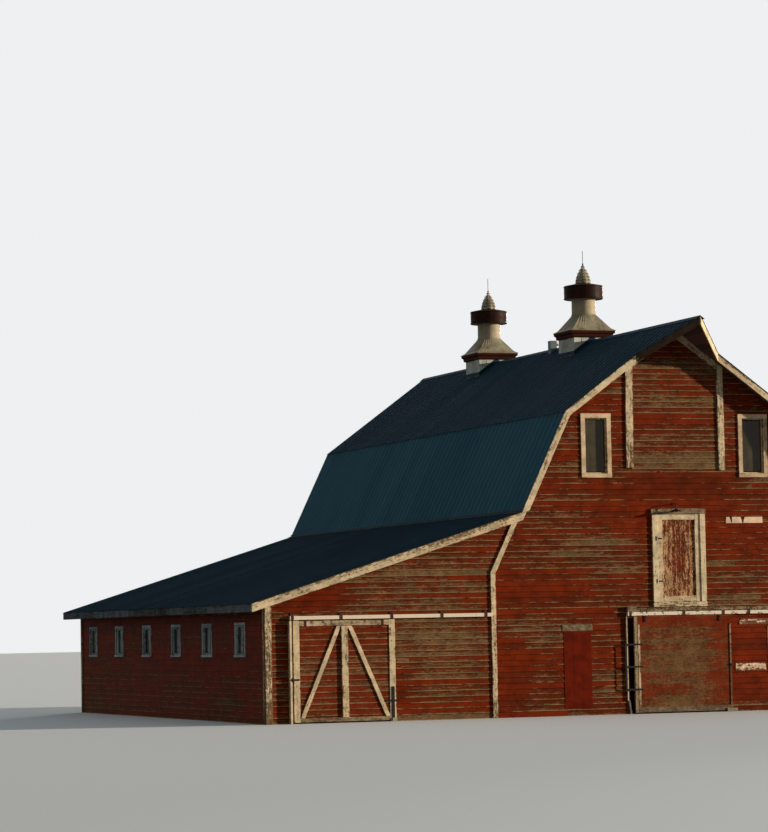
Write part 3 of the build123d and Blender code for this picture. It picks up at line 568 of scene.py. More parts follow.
old_board = weathered("old_soffit_board", (96, 72, 56), (78, 58, 46), (84, 64, 50), (40, 30, 25), 0.1,
                      streak=(2.2, 18), fleck=9.0)
for name, side, material, replaced in (("hood_left_edge", -1, old_board, ["hood_trim"]),
                                       ("hood_right_edge", 1, trim_paint, [])):
    hood = start_boards()
    inset = up * (rake_width / 2) * hypot(1, upper_roof[1]) + hood_side(side) * 0.027
    tip = Vector((0, hood_tip, ridge)) - inset
    foot = Vector((side * hood_half, rake_front, height(upper_roof, hood_half))) - inset
    plank(hood, tip, foot, hood_side(side), 0.185, rake_thick, cuts=(plumb, plumb), worn=(-0.08, 0.06),
          step=0.5, warp=0.001)
    finish_piece(name, hood, material, replaced, ease=0.004)

grey_paint = weathered("grey_eave_paint", (96, 100, 98), (68, 74, 74), (74, 66, 56), (40, 36, 32), 0.08,
                       streak=(2.2, 18), fleck=5.0, rim=0.2)
fascias = start_boards()
fascia_x, fascia_z = 11.553, 2.845
for side in (-1, 1):
    joints = [rake_front, -4.9, -1.2, 2.7, 6.4, rake_back]
    for y0, y1 in zip(joints, joints[1:]):
        plank(fascias, (side * fascia_x, y0 + 0.002, fascia_z), (side * fascia_x, y1 - 0.002, fascia_z),
              (side, 0, 0), 0.2, 0.026, step=0.6, warp=0.0012)
finish_piece("eave_fascia", fascias, grey_paint, ["eave_fascias"], ease=0.004)

# Roofing
# Ribbed steel sheets, 0.305 m between the high ribs, are screwed over the boarding from ridge to eave.
# The upper sheets lap over the steep ones at the break, and a folded cap covers the ridge.


def painted_steel(name, colour, dull):
    """Factory-painted sheet: sheets differ a little in tone, and dust and rain have left faint runs."""
    made, tree, shader, place = new_finish(name)
    sheet = add(tree, "Math", axes_of(tree, place)[1], 0.915, operation="DIVIDE")
    sheet = add(tree, "Math", sheet, operation="FLOOR")
    tone = add(tree, "TexWhiteNoise", None, sheet, noise_dimensions="1D")
    runs = noise(tree, stretched(tree, place, 0.35, 9, 0.35), detail=5)
    cloud = noise(tree, place, 0.7, 3)
    grime = noise(tree, place, 24, 4)
    shade = sum_of(tree, times(tree, tone, 0.35), times(tree, runs, 0.55), times(tree, cloud, 0.5))
    rough = between(tree, sum_of(tree, runs, times(tree, grime, 0.5)), 0.4, 1.1, 0.46, 0.70)
    finish(tree, shader, blended(tree, between(tree, shade, 0.35, 1.05), colour, dull), rough,
           sum_of(tree, grime, times(tree, cloud, 2)), 0.001, gloss=0.02)
    return made


# One roof paint in two copies: the darker copy on the upper slopes, sheds and ridge is painted shade, and the
# lighter copy on the steep lower slopes is painted light.
upper_steel_painted_shade = painted_steel("upper_roof_steel_painted_shade", (24, 46, 57), (33, 55, 66))
lower_steel_painted_light = painted_steel("lower_roof_steel_painted_light", (38, 79, 92), (51, 91, 102))
# Painted shadow: the valley flashing is a still darker copy of the roof paint, for the shadowed strip along
# the junction of the roofs.
valley_steel_painted_shadow = painted_steel("valley_steel_painted_shadow", (18, 34, 43), (24, 40, 49))
rib_pitch = 0.305
rib_profile = [(0.0, 0.019), (0.010, 0.019), (0.026, 0.003), (0.094, 0.003), (0.100, 0.009), (0.106, 0.009),
               (0.112, 0.003), (0.194, 0.003), (0.200, 0.009), (0.206, 0.009), (0.212, 0.003), (0.279, 0.003),
               (0.295, 0.019)]


def lay_sheet(bm, top, foot, y0, y1, rows=3):
    """Ribbed sheet between two heights of a slope; top and foot are (x, z) of the boarding under it."""
    fall = Vector((foot[0] - top[0], 0, foot[1] - top[1]))
    out = Vector((-fall.z, 0, fall.x)).normalized()
    if out.z < 0:
        out.negate()
    chain = []
    for i in range(int(y0 // rib_pitch), int(y1 // rib_pitch) + 1):
        for dy, rise in rib_profile:
            y = i * rib_pitch + dy
            if y0 <= y <= y1:
                chain.append(bm.verts.new(Vector((top[0], y, top[1])) + out * rise))
    edges = [bm.edges.new(pair) for pair in zip(chain, chain[1:])]
    for _ in range(rows):
        grown = bmesh.ops.extrude_edge_only(bm, edges=edges)["geom"]
        edges = [e for e in grown if isinstance(e, bmesh.types.BMEdge)]
        bmesh.ops.translate(bm, verts=[v for v in grown if isinstance(v, bmesh.types.BMVert)],
                            vec=fall / rows)


def fix_sheets(name, bm, steel):
    """Turns the sheets' outer faces up and gives them 2 mm of thickness."""
    for f in bm.faces:
        f.normal_update()
        if f.normal.z < 0:
            f.normal_flip()
    made = finish_piece(name, bm, steel)
    solid = made.modifiers.new("sheet_thickness", "SOLIDIFY")
    solid.thickness, solid.offset = 0.002, 1.0


over_knee = (knee_top[0] + 0.04, height(upper_roof, knee_top[0] + 0.04))
junction = crossing(lower_roof, shed_roof)
drip_edge = (11.6, height(shed_roof, 11.6))
for slope, top, foot, lap_front, steel, rows in (("upper", (0, ridge), over_knee, 0.02, upper_steel_painted_shade, 3),
                                                 ("lower", knee_top, junction, 0.018, lower_steel_painted_light, 3),
                                                 ("shed", junction, drip_edge, 0.018, upper_steel_painted_shade, 5)):
    for hand, side in (("left", -1), ("right", 1)):
        sheets = bmesh.new()
        run = (side * top[0], top[1]), (side * foot[0], foot[1])
        if slope == "upper":
            lay_sheet(sheets, *run, hood_tip, rake_front - 0.0001)
            bmesh.ops.bisect_plane(sheets, geom=sheets.verts[:] + sheets.edges[:] + sheets.faces[:],
                                   dist=0.0001,
                                   plane_co=Vector((0, hood_tip, ridge)) + hood_side(side) * 0.015,
                                   plane_no=hood_side(side), clear_outer=True)
        lay_sheet(sheets, *run, rake_front - lap_front, rake_back + 0.012, rows)
        if slope == "upper":
            bmesh.ops.remove_doubles(sheets, verts=sheets.verts, dist=0.0005)
        fix_sheets(hand + "_" + slope + "_sheets", sheets, steel)

vent_ys, vent_curb = (-2.61, 4.43), 0.54
stub_y, stub_half = -0.61, 0.095
ridge_stops = (hood_tip + 0.02, vent_ys[0] - vent_curb, vent_ys[0] + vent_curb, stub_y - stub_half,
               stub_y + stub_half, vent_ys[1] - vent_curb, vent_ys[1] + vent_curb, rake_back + 0.01)
cap_fold, cap_width = 0.062, 0.155
flashing = start_boards()
cap_z = ridge + 0.021 * hypot(1, upper_roof[1]) - cap_fold * upper_roof[1]
for side in (-1, 1):
    for y0, y1 in zip(ridge_stops[::2], ridge_stops[1::2]):
        plank(flashing, (side * cap_fold, y0, cap_z), (side * cap_fold, y1, cap_z),
              (side * upper_roof[1], 0, 1), cap_width, 0.003, step=0.6, warp=0.0006)
    collar_z = height(upper_roof, vent_curb) + 0.07
    for y in vent_ys:
        rim = y - vent_curb - 0.004, y + vent_curb + 0.004
        plank(flashing, (side * vent_curb, rim[0], collar_z), (side * vent_curb, rim[1], collar_z),
              (side, 0, 0), 0.11, 0.005)
        for end, out in zip(rim, (-1, 1)):
            face_y = end - out * 0.005
            plank(flashing, (0, face_y, ridge + 0.07), (side * (vent_curb + 0.004), face_y, collar_z),
                  (0, out, 0), 0.10, 0.006, cuts=(plumb, plumb))
finish_piece("ridge_flashing", flashing, upper_steel_painted_shade, ["ridge_cap"])


def slope_of(line, side):
    """The way down a slope and the way out of it."""
    fall = Vector((side, 0, -line[1])).normalized()
    return fall, Vector((-side * fall.z, 0, side * fall.x))


valleys = start_boards()
for side in (-1, 1):
    fold = Vector((side * junction[0], 0, junction[1]))
    for line, along, width in ((lower_roof, -0.045, 0.045), (shed_roof, 0.05, 0.10)):
        fall, rise = slope_of(line, side)
        seam = fold + fall * along + rise * 0.021
        plank(valleys, seam + Vector((0, rake_front, 0)), seam + Vector((0, rake_back, 0)), rise, width,
              0.003, step=0.6)
finish_piece("valley_flashing", valleys, valley_steel_painted_shadow, ["roof_aprons"])

# Ridge ventilators
# Sheet-metal ventilators stand on boarded curbs astride the ridge: a wooden cornice, a skirt that turns
# from square to round, a round neck, a wide rain band and a cap of toothed tiers. Rust has stained the zinc.


def old_zinc(name, bright, grey, stain, amount):
    """Weathered sheet metal with rust that has run down from the joints."""
    made, tree, shader, place = new_finish(name)
    cloud = noise(tree, place, 3.2, 5, 0.65)
    runs = noise(tree, stretched(tree, place, 14, 14, 1.2), detail=5)
    spots = noise(tree, place, 38, 4, 0.7)
    sheet = blended(tree, between(tree, cloud, 0.35, 0.68), bright, grey)
    rust = sum_of(tree, times(tree, runs, 0.7), times(tree, cloud, 0.6), times(tree, spots, 0.4))
    rust = between(tree, rust, 1.10 - amount, 1.22 - amount)
    finish(tree, shader, blended(tree, rust, sheet, stain), between(tree, rust, 0, 1, 0.45, 0.85),
           sum_of(tree, times(tree, spots, 0.6), cloud), 0.002, gloss=0.03)
    return made


neck_zinc = old_zinc("neck_zinc", (178, 160, 128), (158, 142, 116), (120, 92, 66), 0.03)
skirt_zinc = old_zinc("skirt_zinc", (154, 142, 114), (124, 116, 96), (112, 82, 54), 0.20)
crown_zinc = old_zinc("crown_zinc", (166, 152, 126), (124, 112, 92), (92, 62, 42), 0.10)
rusty_band = old_zinc("rusty_band", (48, 28, 17), (34, 21, 14), (68, 40, 22), 0.22)


def ring_up(bm, at, sides, profile, squares=0):
    """A closed form built up ring by ring. The profile lists half widths and heights above a point;
    squares is how many of its first rings are square."""
    at = Vector(at)
    ring = first = bmesh.ops.create_circle(bm, cap_ends=False, segments=sides, radius=1)["verts"]
    if sides == 4:
        bmesh.ops.rotate(bm, verts=ring, matrix=Matrix.Rotation(pi / 4, 3, "Z"))
    bmesh.ops.translate(bm, verts=ring, vec=at)
    edges = list(dict.fromkeys(e for v in ring for e in v.link_edges))
    for number, (reach, level) in enumerate(profile):
        if number:
            grown = bmesh.ops.extrude_edge_only(bm, edges=edges)["geom"]
            edges = [e for e in grown if isinstance(e, bmesh.types.BMEdge)]
            ring = [v for v in grown if isinstance(v, bmesh.types.BMVert)]
        for v in ring:
            flat = Vector((v.co.x - at.x, v.co.y - at.y, 0)).normalized()
            corner = 1 / max(abs(flat.x), abs(flat.y)) if number < squares else 1.0
            v.co = at + flat * reach * corner + up * level
    bmesh.ops.contextual_create(bm, geom=ring)
    bmesh.ops.contextual_create(bm, geom=first)


def outwards(bm):
    bmesh.ops.remove_doubles(bm, verts=bm.verts, dist=0.0002)
    bmesh.ops.recalc_face_normals(bm, faces=bm.faces)


curb_face, curb_board, curb_foot, curb_head = 0.515, 0.216, 9.60, 10.13
cornice_z, eave_z, neck_z, band_z, crown_z, rod_end = 10.09, 10.285, 10.76, 11.19, 11.61, 12.54
cornice_rings = [(0.53, 0.0), (0.575, 0.01), (0.593, 0.03), (0.595, 0.09), (0.612, 0.11), (0.638, 0.124),
                 (0.64, 0.186), (0.60, 0.194)]
skirt_rings = [(0.60, -0.004), (0.654, -0.006), (0.656, 0.012), (0.640, 0.018), (0.590, 0.042),
               (0.545, 0.080), (0.332, neck_z - eave_z), (0.31, neck_z - eave_z)]
neck_rings = [(0.31, -0.03), (0.334, -0.02), (0.342, -0.006), (0.342, 0.014), (0.331, 0.02), (0.330, 0.20),
              (0.333, 0.204), (0.333, 0.214), (0.330, 0.218), (0.330, 0.45), (0.31, 0.45)]
band_rings = [(0.34, 0.012), (0.510, 0.008), (0.528, -0.004), (0.540, 0.004), (0.540, 0.026), (0.530, 0.034),
              (0.530, 0.172), (0.534, 0.176), (0.534, 0.188), (0.530, 0.192), (0.530, 0.326), (0.540, 0.334),
              (0.540, 0.354), (0.528, 0.364), (0.250, 0.422), (0.10, 0.426)]
tiers, crown_rise, crown_reach = 6, 0.53, 0.235
curbs, cornices = start_boards(), start_boards()
skirts, necks, bands, crowns = [bmesh.new() for _ in range(4)]
for y in vent_ys:
    for side in (-1, 1):
        for i in range(5):
            across = curb_board * (i - 2)
            face_y, thick = y + side * curb_face, 0.025 + 0.002 * (i % 2)
            on_slope = (1, 0, -upper_roof[1] if across >= 0 else upper_roof[1])
            plank(curbs, (across, face_y, height(upper_roof, abs(across)) - 0.05),
                  (across, face_y, curb_head), (0, side, 0), curb_board - 0.004, thick, cuts=(on_slope, None),
                  step=0.3)
            plank(curbs, (side * curb_face, y + across, curb_foot), (side * curb_face, y + across, curb_head),
                  (side, 0, 0), curb_board - 0.004, thick, step=0.3)
    ring_up(cornices, (0, y, cornice_z), 4, cornice_rings, squares=8)
    ring_up(skirts, (0, y, eave_z), 48, skirt_rings, squares=6)
    ring_up(necks, (0, y, neck_z), 48, neck_rings)
    ring_up(bands, (0, y, band_z), 48, band_rings)
    for i in range(tiers):
        foot = crown_reach * (1 - (i / tiers) ** 1.8)
        head = max(crown_reach * (1 - ((i + 1) / tiers) ** 1.8) - 0.022, 0.014)
        rise = crown_rise / tiers
        middle = Vector((0, y, crown_z + (i + 0.5) * rise))
        cone = bmesh.ops.create_cone(crowns, cap_ends=True, segments=16, radius1=foot, radius2=head,
                                     depth=rise, matrix=Matrix.Translation(middle))["verts"]
        teeth = [v for v in cone if v.co.z < middle.z and round(atan2(v.co.y - y, v.co.x) * 8 / pi) % 2]
        bmesh.ops.translate(crowns, verts=teeth, vec=(0, 0, 0.03))
        bmesh.ops.scale(crowns, verts=teeth, vec=(0.9, 0.9, 1), space=Matrix.Translation((0, -y, 0)))
    tip_z = crown_z + crown_rise
    bmesh.ops.create_uvsphere(crowns, u_segments=12, v_segments=8, radius=0.026,
                              matrix=Matrix.Translation((0, y, tip_z + 0.02)))
    ring_up(crowns, (0, y, 0), 10, [(0.009, tip_z), (0.009, rod_end - 0.04), (0.003, rod_end)])
for forms in (cornices, skirts, necks, bands, crowns):
    outwards(forms)
for v in cornices.verts:
    v[cornices.verts.layers.float["worn"]] = 0.1
curb_paint = weathered("curb_paint", (206, 202, 182), (176, 178, 168), (116, 104, 88), (70, 60, 50), -0.06,
                       streak=(2.0, 22), fleck=7.0)
cornice_paint = weathered("cornice_paint", (60, 27, 17), (46, 22, 15), (80, 56, 38), (38, 26, 20), 0.0,
                          fleck=7.0)
finish_piece("vent_curb_boards", curbs, curb_paint, ["vent_curbs"], ease=0.003)
finish_piece("vent_cornice_mouldings", cornices, cornice_paint, ["vent_cornices"])
finish_piece("vent_skirts", skirts, skirt_zinc, ease=0.002)
finish_piece("vent_necks", necks, neck_zinc, ["vent_flues"])
finish_piece("vent_rain_bands", bands, rusty_band, ["vent_drums"])
finish_piece("vent_caps", crowns, crown_zinc, ["vent_crowns"])

# Stub vent
# A small sheet-metal box stands on the ridge behind the front ventilator. A bent spout leaves its right
# side; a folded lid and a collar finish the joints.
stub_metal, tree, shader, place = new_finish("stub_vent_metal")
dull = noise(tree, place, 30, 5)
# Painted highlight: the spout to the right of the box is painted near-white for the light it catches; the box
# is galvanised blue-grey.
spout_painted_highlight = add(tree, "Math", axes_of(tree, place)[0], -0.014, operation="GREATER_THAN")
box_grey = blended(tree, between(tree, dull, 0.35, 0.65), (112, 124, 120), (90, 100, 98))
finish(tree, shader, blended(tree, spout_painted_highlight, box_grey, (204, 194, 172)), 0.6, dull, 0.001, gloss=0.12)
wear_finish(["stub_vent"], stub_metal)
lid = bmesh.new()
ring_up(lid, (-0.11, stub_y, 10.21), 4, [(0.08, 0.0), (0.099, -0.002), (0.099, 0.016), (0.070, 0.024),
                                         (0.02, 0.026)], squares=5)
bmesh.ops.create_cone(lid, cap_ends=True, segments=20, radius1=0.054, radius2=0.050, depth=0.008,
                      matrix=Matrix.Translation((-0.011, stub_y, 10.168)) @ Matrix.Rotation(pi / 2, 4, "Y"))
outwards(lid)
finish_piece("stub_vent_lid", lid, skirt_zinc)

# Windows
# Each has flat casings nailed over the siding, a thicker sill and a thin sash with dusty panes.
# The sheds' windows have a glazing bar too.
glass, tree, shader, place = new_finish("window_glass")
film = noise(tree, stretched(tree, place, 2.5, 2.5, 1.4), detail=5)
dust = sum_of(tree, film, times(tree, noise(tree, place, 60, 3), 0.35))
finish(tree, shader, blended(tree, between(tree, dust, 0.5, 0.95), (54, 46, 32), (82, 72, 52)),
       between(tree, dust, 0.5, 0.95, 0.10, 0.32), film, 0.001, gloss=0.15)
shader.inputs["Transmission Weight"].default_value = 0.05
wear_finish(["window_glass"], glass)
window_paint = weathered("window_paint", (214, 186, 150), (192, 162, 126), (138, 108, 80), (78, 60, 44),
                         -0.06, streak=(2.2, 18), fleck=13.0)
# Painted shade: the side windows get a cool blue-grey copy of the cream window paint, for cream seen in the
# shade of the sky.
shade_tinted_window_paint = weathered("shade_tinted_window_paint", (184, 194, 190), (158, 170, 168), (124, 112, 94),
                              (72, 62, 52), -0.10, streak=(2.2, 18), fleck=13.0)


def frame_window(bm, middle, out, width, tall, casing, sash, depth, ears, barred=False):
    """Casings, jambs, sash and sill of a window; middle is the centre of its opening on the wall's face."""
    middle, out = Vector(middle), Vector(out)
    right = up.cross(out)
    half, rise = width / 2, tall / 2
    for side in (-1, 1):
        at = middle + right * side * (half - casing / 2)
        plank(bm, at - up * (rise - 0.03), at + up * (rise - casing), out, casing, depth, step=0.4,
              warp=0.001)
        at = middle + right * side * (half - casing - 0.001) - out * 0.06
        plank(bm, at - up * (rise - casing), at + up * (rise - casing), right * -side, 0.12, 0.012)
        at = middle + up * side * (rise - casing - 0.001) - out * 0.06
        reach = right * (half - casing)
        plank(bm, at - reach, at + reach, up * -side, 0.12, 0.012)
        at = middle - out * 0.045 + right * side * (half - casing - sash / 2)
        plank(bm, at - up * (rise - casing), at + up * (rise - casing), out, sash, 0.03)
        at = middle - out * 0.045 + up * side * (rise - casing - sash / 2)
        reach = right * (half - casing - sash)
        plank(bm, at - reach, at + reach, out, sash, 0.028)
    at, reach = middle + up * (rise - casing / 2), right * (half + 0.004)
    plank(bm, at - reach, at + reach, out, casing, depth + 0.003, step=0.3, warp=0.001)
    at, reach = middle - up * (rise - casing * 0.55), right * (half + ears)
    plank(bm, at - reach, at + reach, out, casing * 0.9, depth + 0.006 + ears)
    if barred:
        at, reach = middle - out * 0.045, up * (rise - casing - sash)
        plank(bm, at - reach, at + reach, out, 0.024, 0.024)


frames = start_boards()
for x in (-2.21, 2.21):
    for y, out in ((front, -1), (back, 1)):
        frame_window(frames, (x, y, (loft_sill + loft_head) / 2), (0, out, 0), 0.83, 1.65, 0.115, 0.028,
                     0.042, 0.002)
finish_piece("loft_window_joinery", frames, window_paint, ["window_frames"], ease=0.003)
frames = start_boards()
for y in window_ys:
    for side in (-1, 1):
        frame_window(frames, (side * shed_half, y, 2.07), (side, 0, 0), 0.86, 0.87, 0.062, 0.040, 0.028, 0.02,
                     barred=True)
finish_piece("side_window_joinery", frames, shade_tinted_window_paint, ease=0.003)

# Hay door
# A framed leaf with a flaking boarded panel hangs in a wide casing, from two strap hinges that are
# bolted to it. A bare board heads the casing.
bare_board = weathered("bare_board", (160, 136, 102), (134, 112, 84), (128, 106, 80), (58, 44, 34), 0.14,
                       fleck=13.0)
panel_paint = weathered("hay_panel_paint", (104, 38, 17), (80, 32, 16), (206, 166, 120), (160, 114, 76), 0.22,
                        streak=(6.5, 17), uneven=0.2)
casing, casing_front, stile, leaf_back = 0.145, 0.062, 0.143, front - 0.005
hay = start_boards()
for x in (-0.6425, 0.7025):
    sawn(hay, x, 2.712, x, 5.07, casing, casing_front, worn=0.03, warp=0.0012)
sawn(hay, -0.722, 2.768, 0.782, 2.768, 0.13, casing_front + 0.004, worn=0.12, warp=0.0012)
for x in (-0.4975, 0.5575):
    sawn(hay, x, 2.835, x, 5.065, stile, 0.036, leaf_back)
for z in (2.9075, 4.9975):
    sawn(hay, -0.425, z, 0.485, z, stile, 0.034, leaf_back)
for x in (-0.568, 0.628):
    plank(hay, (x, front + 0.06, 2.82), (x, front + 0.06, 5.08), (-1 if x > 0 else 1, 0, 0), 0.12, 0.01)
finish_piece("hay_door_joinery", hay, trim_paint, ["hay_door_frame", "hay_door"], ease=0.004)
head = start_boards()
sawn(head, -0.735, 5.143, 0.79, 5.143, casing, casing_front + 0.004, worn=0.05, step=0.3, warp=0.002)
finish_piece("hay_door_head", head, bare_board, ease=0.005)
panel = start_boards()
panel_wear = wear_by([(0.08, 3.95, 0.30, 0.8, -0.13), (0.30, 3.3, 0.25, 0.4, -0.08)], 0.06)
for i in range(7):
    x = -0.36 + 0.13 * i
    sawn(panel, x, 2.9, x, 5.0, 0.127, 0.062, front + 0.05, worn=panel_wear, step=0.3)
finish_piece("hay_door_panel", panel, panel_paint, ease=0.003)


def dark_iron(name, base, rust, amount=0.0, metal=0.2):
    """Wrought iron, blotched with rust."""
    made, tree, shader, place = new_finish(name)
    cloud = noise(tree, place, 14, 6, 0.65)
    grit = noise(tree, place, 120, 3)
    share = between(tree, sum_of(tree, cloud, times(tree, grit, 0.3)), 0.72 - amount, 0.86 - amount)
    finish(tree, shader, blended(tree, share, base, rust), between(tree, share, 0, 1, 0.5, 0.9),
           sum_of(tree, grit, times(tree, cloud, 2)), 0.0012, metal, 0.12)
    return made


black_iron = dark_iron("black_iron", (32, 29, 27), (84, 50, 33))


def bolt(bm, x, y, z, reach=0.011, proud=0.009):
    """A bolt's domed head on a flat washer, on a face that looks out of the front."""
    turn = Matrix.Rotation(pi / 2, 4, "X")
    for radius, tip, depth, start in ((reach * 1.55, reach * 1.5, 0.003, 0.0),
                                      (reach, reach * 0.55, proud, 0.002)):
        bmesh.ops.create_cone(bm, cap_ends=True, segments=8, radius1=radius, radius2=tip, depth=depth,
                              matrix=Matrix.Translation((x, y - start - depth / 2, z)) @ turn)


def plate(bm, x0, x1, z, width, thick, y=front):
    """A level flat bar or block on the front, with its back at y."""
    plank(bm, (x0, y, z), (x1, y, z), (0, -1, 0), width, thick)


irons = start_boards()
for z in (4.45, 3.36):
    plate(irons, -0.60, -0.44, z, 0.034, 0.006, front - 0.045)
    plate(irons, -0.63, -0.595, z, 0.11, 0.005, front - casing_front)
    for x in (-0.53, -0.47):
        bolt(irons, x, front - 0.051, z, 0.007, 0.006)
    for dz in (-0.036, 0.036):
        bolt(irons, -0.6125, front - casing_front - 0.005, z + dz, 0.007, 0.006)
finish_piece("hay_door_irons", irons, black_iron, ease=0.0015)

# Yard lamp
# A tube is screwed to the wall with a round flange and bent down at its end.
# It carries a flat enamelled shade over the hay door.
lamp_x, lamp_y, tube_z, tube_bend, flange_z = -0.115, front - 0.24, 5.28, 0.05, 5.33
shade_rings = [(0.016, 5.205), (0.030, 5.20), (0.036, 5.19), (0.042, 5.186), (0.165, 5.148), (0.172, 5.142),
               (0.172, 5.136), (0.160, 5.139), (0.040, 5.175), (0.016, 5.178)]
tube = bmesh.new()
ring_up(tube, (lamp_x, lamp_y, 0), 12, [(0.013, 5.175), (0.013, 5.285)])
ring = bmesh.ops.create_circle(tube, cap_ends=True, segments=12, radius=0.009)["verts"]
bmesh.ops.translate(tube, verts=ring, vec=(lamp_x, lamp_y, tube_z))
swept = bmesh.ops.spin(tube, geom=list(dict.fromkeys(f for v in ring for f in v.link_faces)),
                       cent=(lamp_x, lamp_y + tube_bend, tube_z), axis=(1, 0, 0), angle=radians(-90), steps=8,
                       use_duplicate=False)["geom_last"]
run = bmesh.ops.extrude_face_region(tube,
                                    geom=[g for g in swept if isinstance(g, bmesh.types.BMFace)])["geom"]
bmesh.ops.translate(tube, verts=[g for g in run if isinstance(g, bmesh.types.BMVert)], vec=(0, 0.19, 0))
bmesh.ops.create_cone(tube, cap_ends=True, segments=20, radius1=0.030, radius2=0.024, depth=0.010,
                      matrix=Matrix.Translation((lamp_x, front - 0.021, flange_z)) @ Matrix.Rotation(pi / 2,
                                                                                                     4, "X"))
ring_up(tube, (lamp_x, lamp_y, 0), 32, shade_rings)
bmesh.ops.create_uvsphere(tube, u_segments=16, v_segments=10, radius=0.034,
                          matrix=Matrix.Translation((lamp_x, lamp_y, 5.152)))
outwards(tube)
finish_piece("yard_lamp_fitting", tube, black_iron, ["yard_lamp"])

# Shed door
# The leaf is boarded like the wall and stiffened by cream stiles, a middle post, rails and two braces.
# It slides to the right on a box track; the hanger straps are bolted to it near its stiles.
door_siding = weathered("door_siding", (114, 38, 12), (94, 35, 13), (134, 100, 66), (82, 58, 37), 0.0,
                        laps=True, streak=(4.2, 40))
flaked_paint = weathered("flaked_paint", (196, 170, 136), (160, 132, 100), (126, 96, 68), (62, 44, 32), 0.14,
                         streak=(2.2, 18), fleck=9.0, rim=0.2)
leaf_front, batten_front = -8.341, -8.366
shed_leaf = start_boards()
lay_siding(shed_leaf, (1, 0, 0), -leaf_front, -10.428, -7.782, 0.032, 2.50,
           wear_by([(-9.1, 0.9, 2.2, 0.9, 0.07)], 0.12), depth=0.009)
cut_out(shed_leaf, (1, 0, 0), -10.5, -7.7, 2.513, 2.8)
finish_piece("left_shed_door_boards", shed_leaf, door_siding, body="left_shed_door")


def on_leaf(bm, x0, z0, x1, z1, width, thick=0.025, worn=0.04, **more):
    """A board on a sliding leaf."""
    sawn(bm, x0, z0, x1, z1, width, thick, leaf_front, worn=worn, **more)


stile, post_x, post_width, post_foot, post_top = 0.157, -9.105, 0.166, 0.135, 2.375
stiles = start_boards()
for x in (-10.3515, -7.8585):
    on_leaf(stiles, x, 0.03, x, 2.515, stile)
on_leaf(stiles, post_x, post_foot, post_x, post_top, post_width, 0.055)
for side in (-1, 1):
    slant = 0.0575
    on_leaf(stiles, post_x + side * (1.325 - stile - slant), post_foot,
            post_x + side * (post_width / 2 + slant), post_top, 0.105, 0.036, cuts=(level, level))
finish_piece("left_shed_door_stiles_and_braces", stiles, trim_paint, ["left_shed_door_battens"], ease=0.004,
             body="left_shed_door")
for name, z, width, material in (("left_shed_door_top_rail", 2.445, 0.14, flaked_paint),
                                 ("left_shed_door_foot_rail", 0.0825, 0.105, bare_board)):
    rails = start_boards()
    on_leaf(rails, -10.273, z, -7.937, z, width)
    finish_piece(name, rails, material, ease=0.004, body="left_shed_door")

# Main door
# A plain boarded leaf stands a little open. It has a bare foot rail, an edge board and thin strips,
# and three iron bars reach over the gap to hold it.
main_door_paint = weathered("main_door_paint", (116, 40, 13), (98, 38, 15), (122, 92, 58), (90, 64, 40), 0.0,
                            streak=(2.6, 38), fleck=16.0, rim=0.0, uneven=0.5)
main_wear = wear_by([(-0.1, 1.38, 2.2, 1.25, 0.34), (0.75, 0.60, 0.6, 0.22, 0.24),
                     (0.0, 0.24, 1.7, 0.30, 0.34), (1.0, 1.1, 0.45, 1.3, -0.12)], 0.03)
main_leaf = start_boards()
flush_course = 0.1432
for row in range(17):
    z = 0.032 + flush_course * (row + 0.5)
    sawn(main_leaf, -1.308, z, 1.42, z, flush_course - 0.0015, 0.009, leaf_front, 0.35, 0.0006,
         worn=main_wear)
finish_piece("main_door_boards", main_leaf, main_door_paint, body="main_door")
strips = start_boards()
on_leaf(strips, -1.183, 0.17, -1.183, 2.26, 0.06)
on_leaf(strips, 1.383, 0.17, 1.383, 1.22, 0.045, worn=0.2)
on_leaf(strips, 1.383, 1.222, 1.383, 2.26, 0.045)
finish_piece("main_door_strips", strips, flaked_paint, ["main_door_battens"], ease=0.003, body="main_door")
rails = start_boards()
on_leaf(rails, -1.266, 0.03, -1.266, 2.47, 0.088)
on_leaf(rails, -1.222, 0.10, 1.422, 0.10, 0.14)
finish_piece("main_door_edge_and_foot", rails, bare_board, ease=0.004, body="main_door")

# Hangers and latches
# Straps of flat iron hang each leaf from its wheels, and flat bars hold the doors shut.
# All are fixed with bolts through the battens.
hanger_iron = dark_iron("hanger_iron", (72, 33, 21), (52, 30, 21), 0.05, 0.0)
wear_finish(["left_shed_door_hangers", "main_door_hangers"], hanger_iron)
wear_finish(["left_shed_door_latches", "main_door_latch"], black_iron)
for name, body, xs, top in (("left_shed_door_bolts", "left_shed_door", (-10.11, -8.10), 2.515),
                            ("main_door_bolts", "main_door", (-0.99, 1.102), 2.47)):
    bolts = bmesh.new()
    for x in xs:
        for z in (top - 0.035, top - 0.115):
            bolt(bolts, x, batten_front - 0.006, z)
    if body == "main_door":
        for z in (0.6225, 1.1975, 1.7625):
            for x in (-1.29, -1.22, -1.11):
                bolt(bolts, x, batten_front - 0.008, z, 0.008, 0.006)
        bolt(bolts, 1.383, batten_front, 1.2, 0.022, 0.02)
    else:
        for z in (0.12, 0.78, 0.30):
            bolt(bolts, -7.86, batten_front - 0.008, z, 0.008, 0.006)
        for x in (-8.06, -7.86, -7.72):
            bolt(bolts, x, batten_front - 0.016, 0.5125, 0.008, 0.006)
    finish_piece(name, bolts, black_iron, body=body)

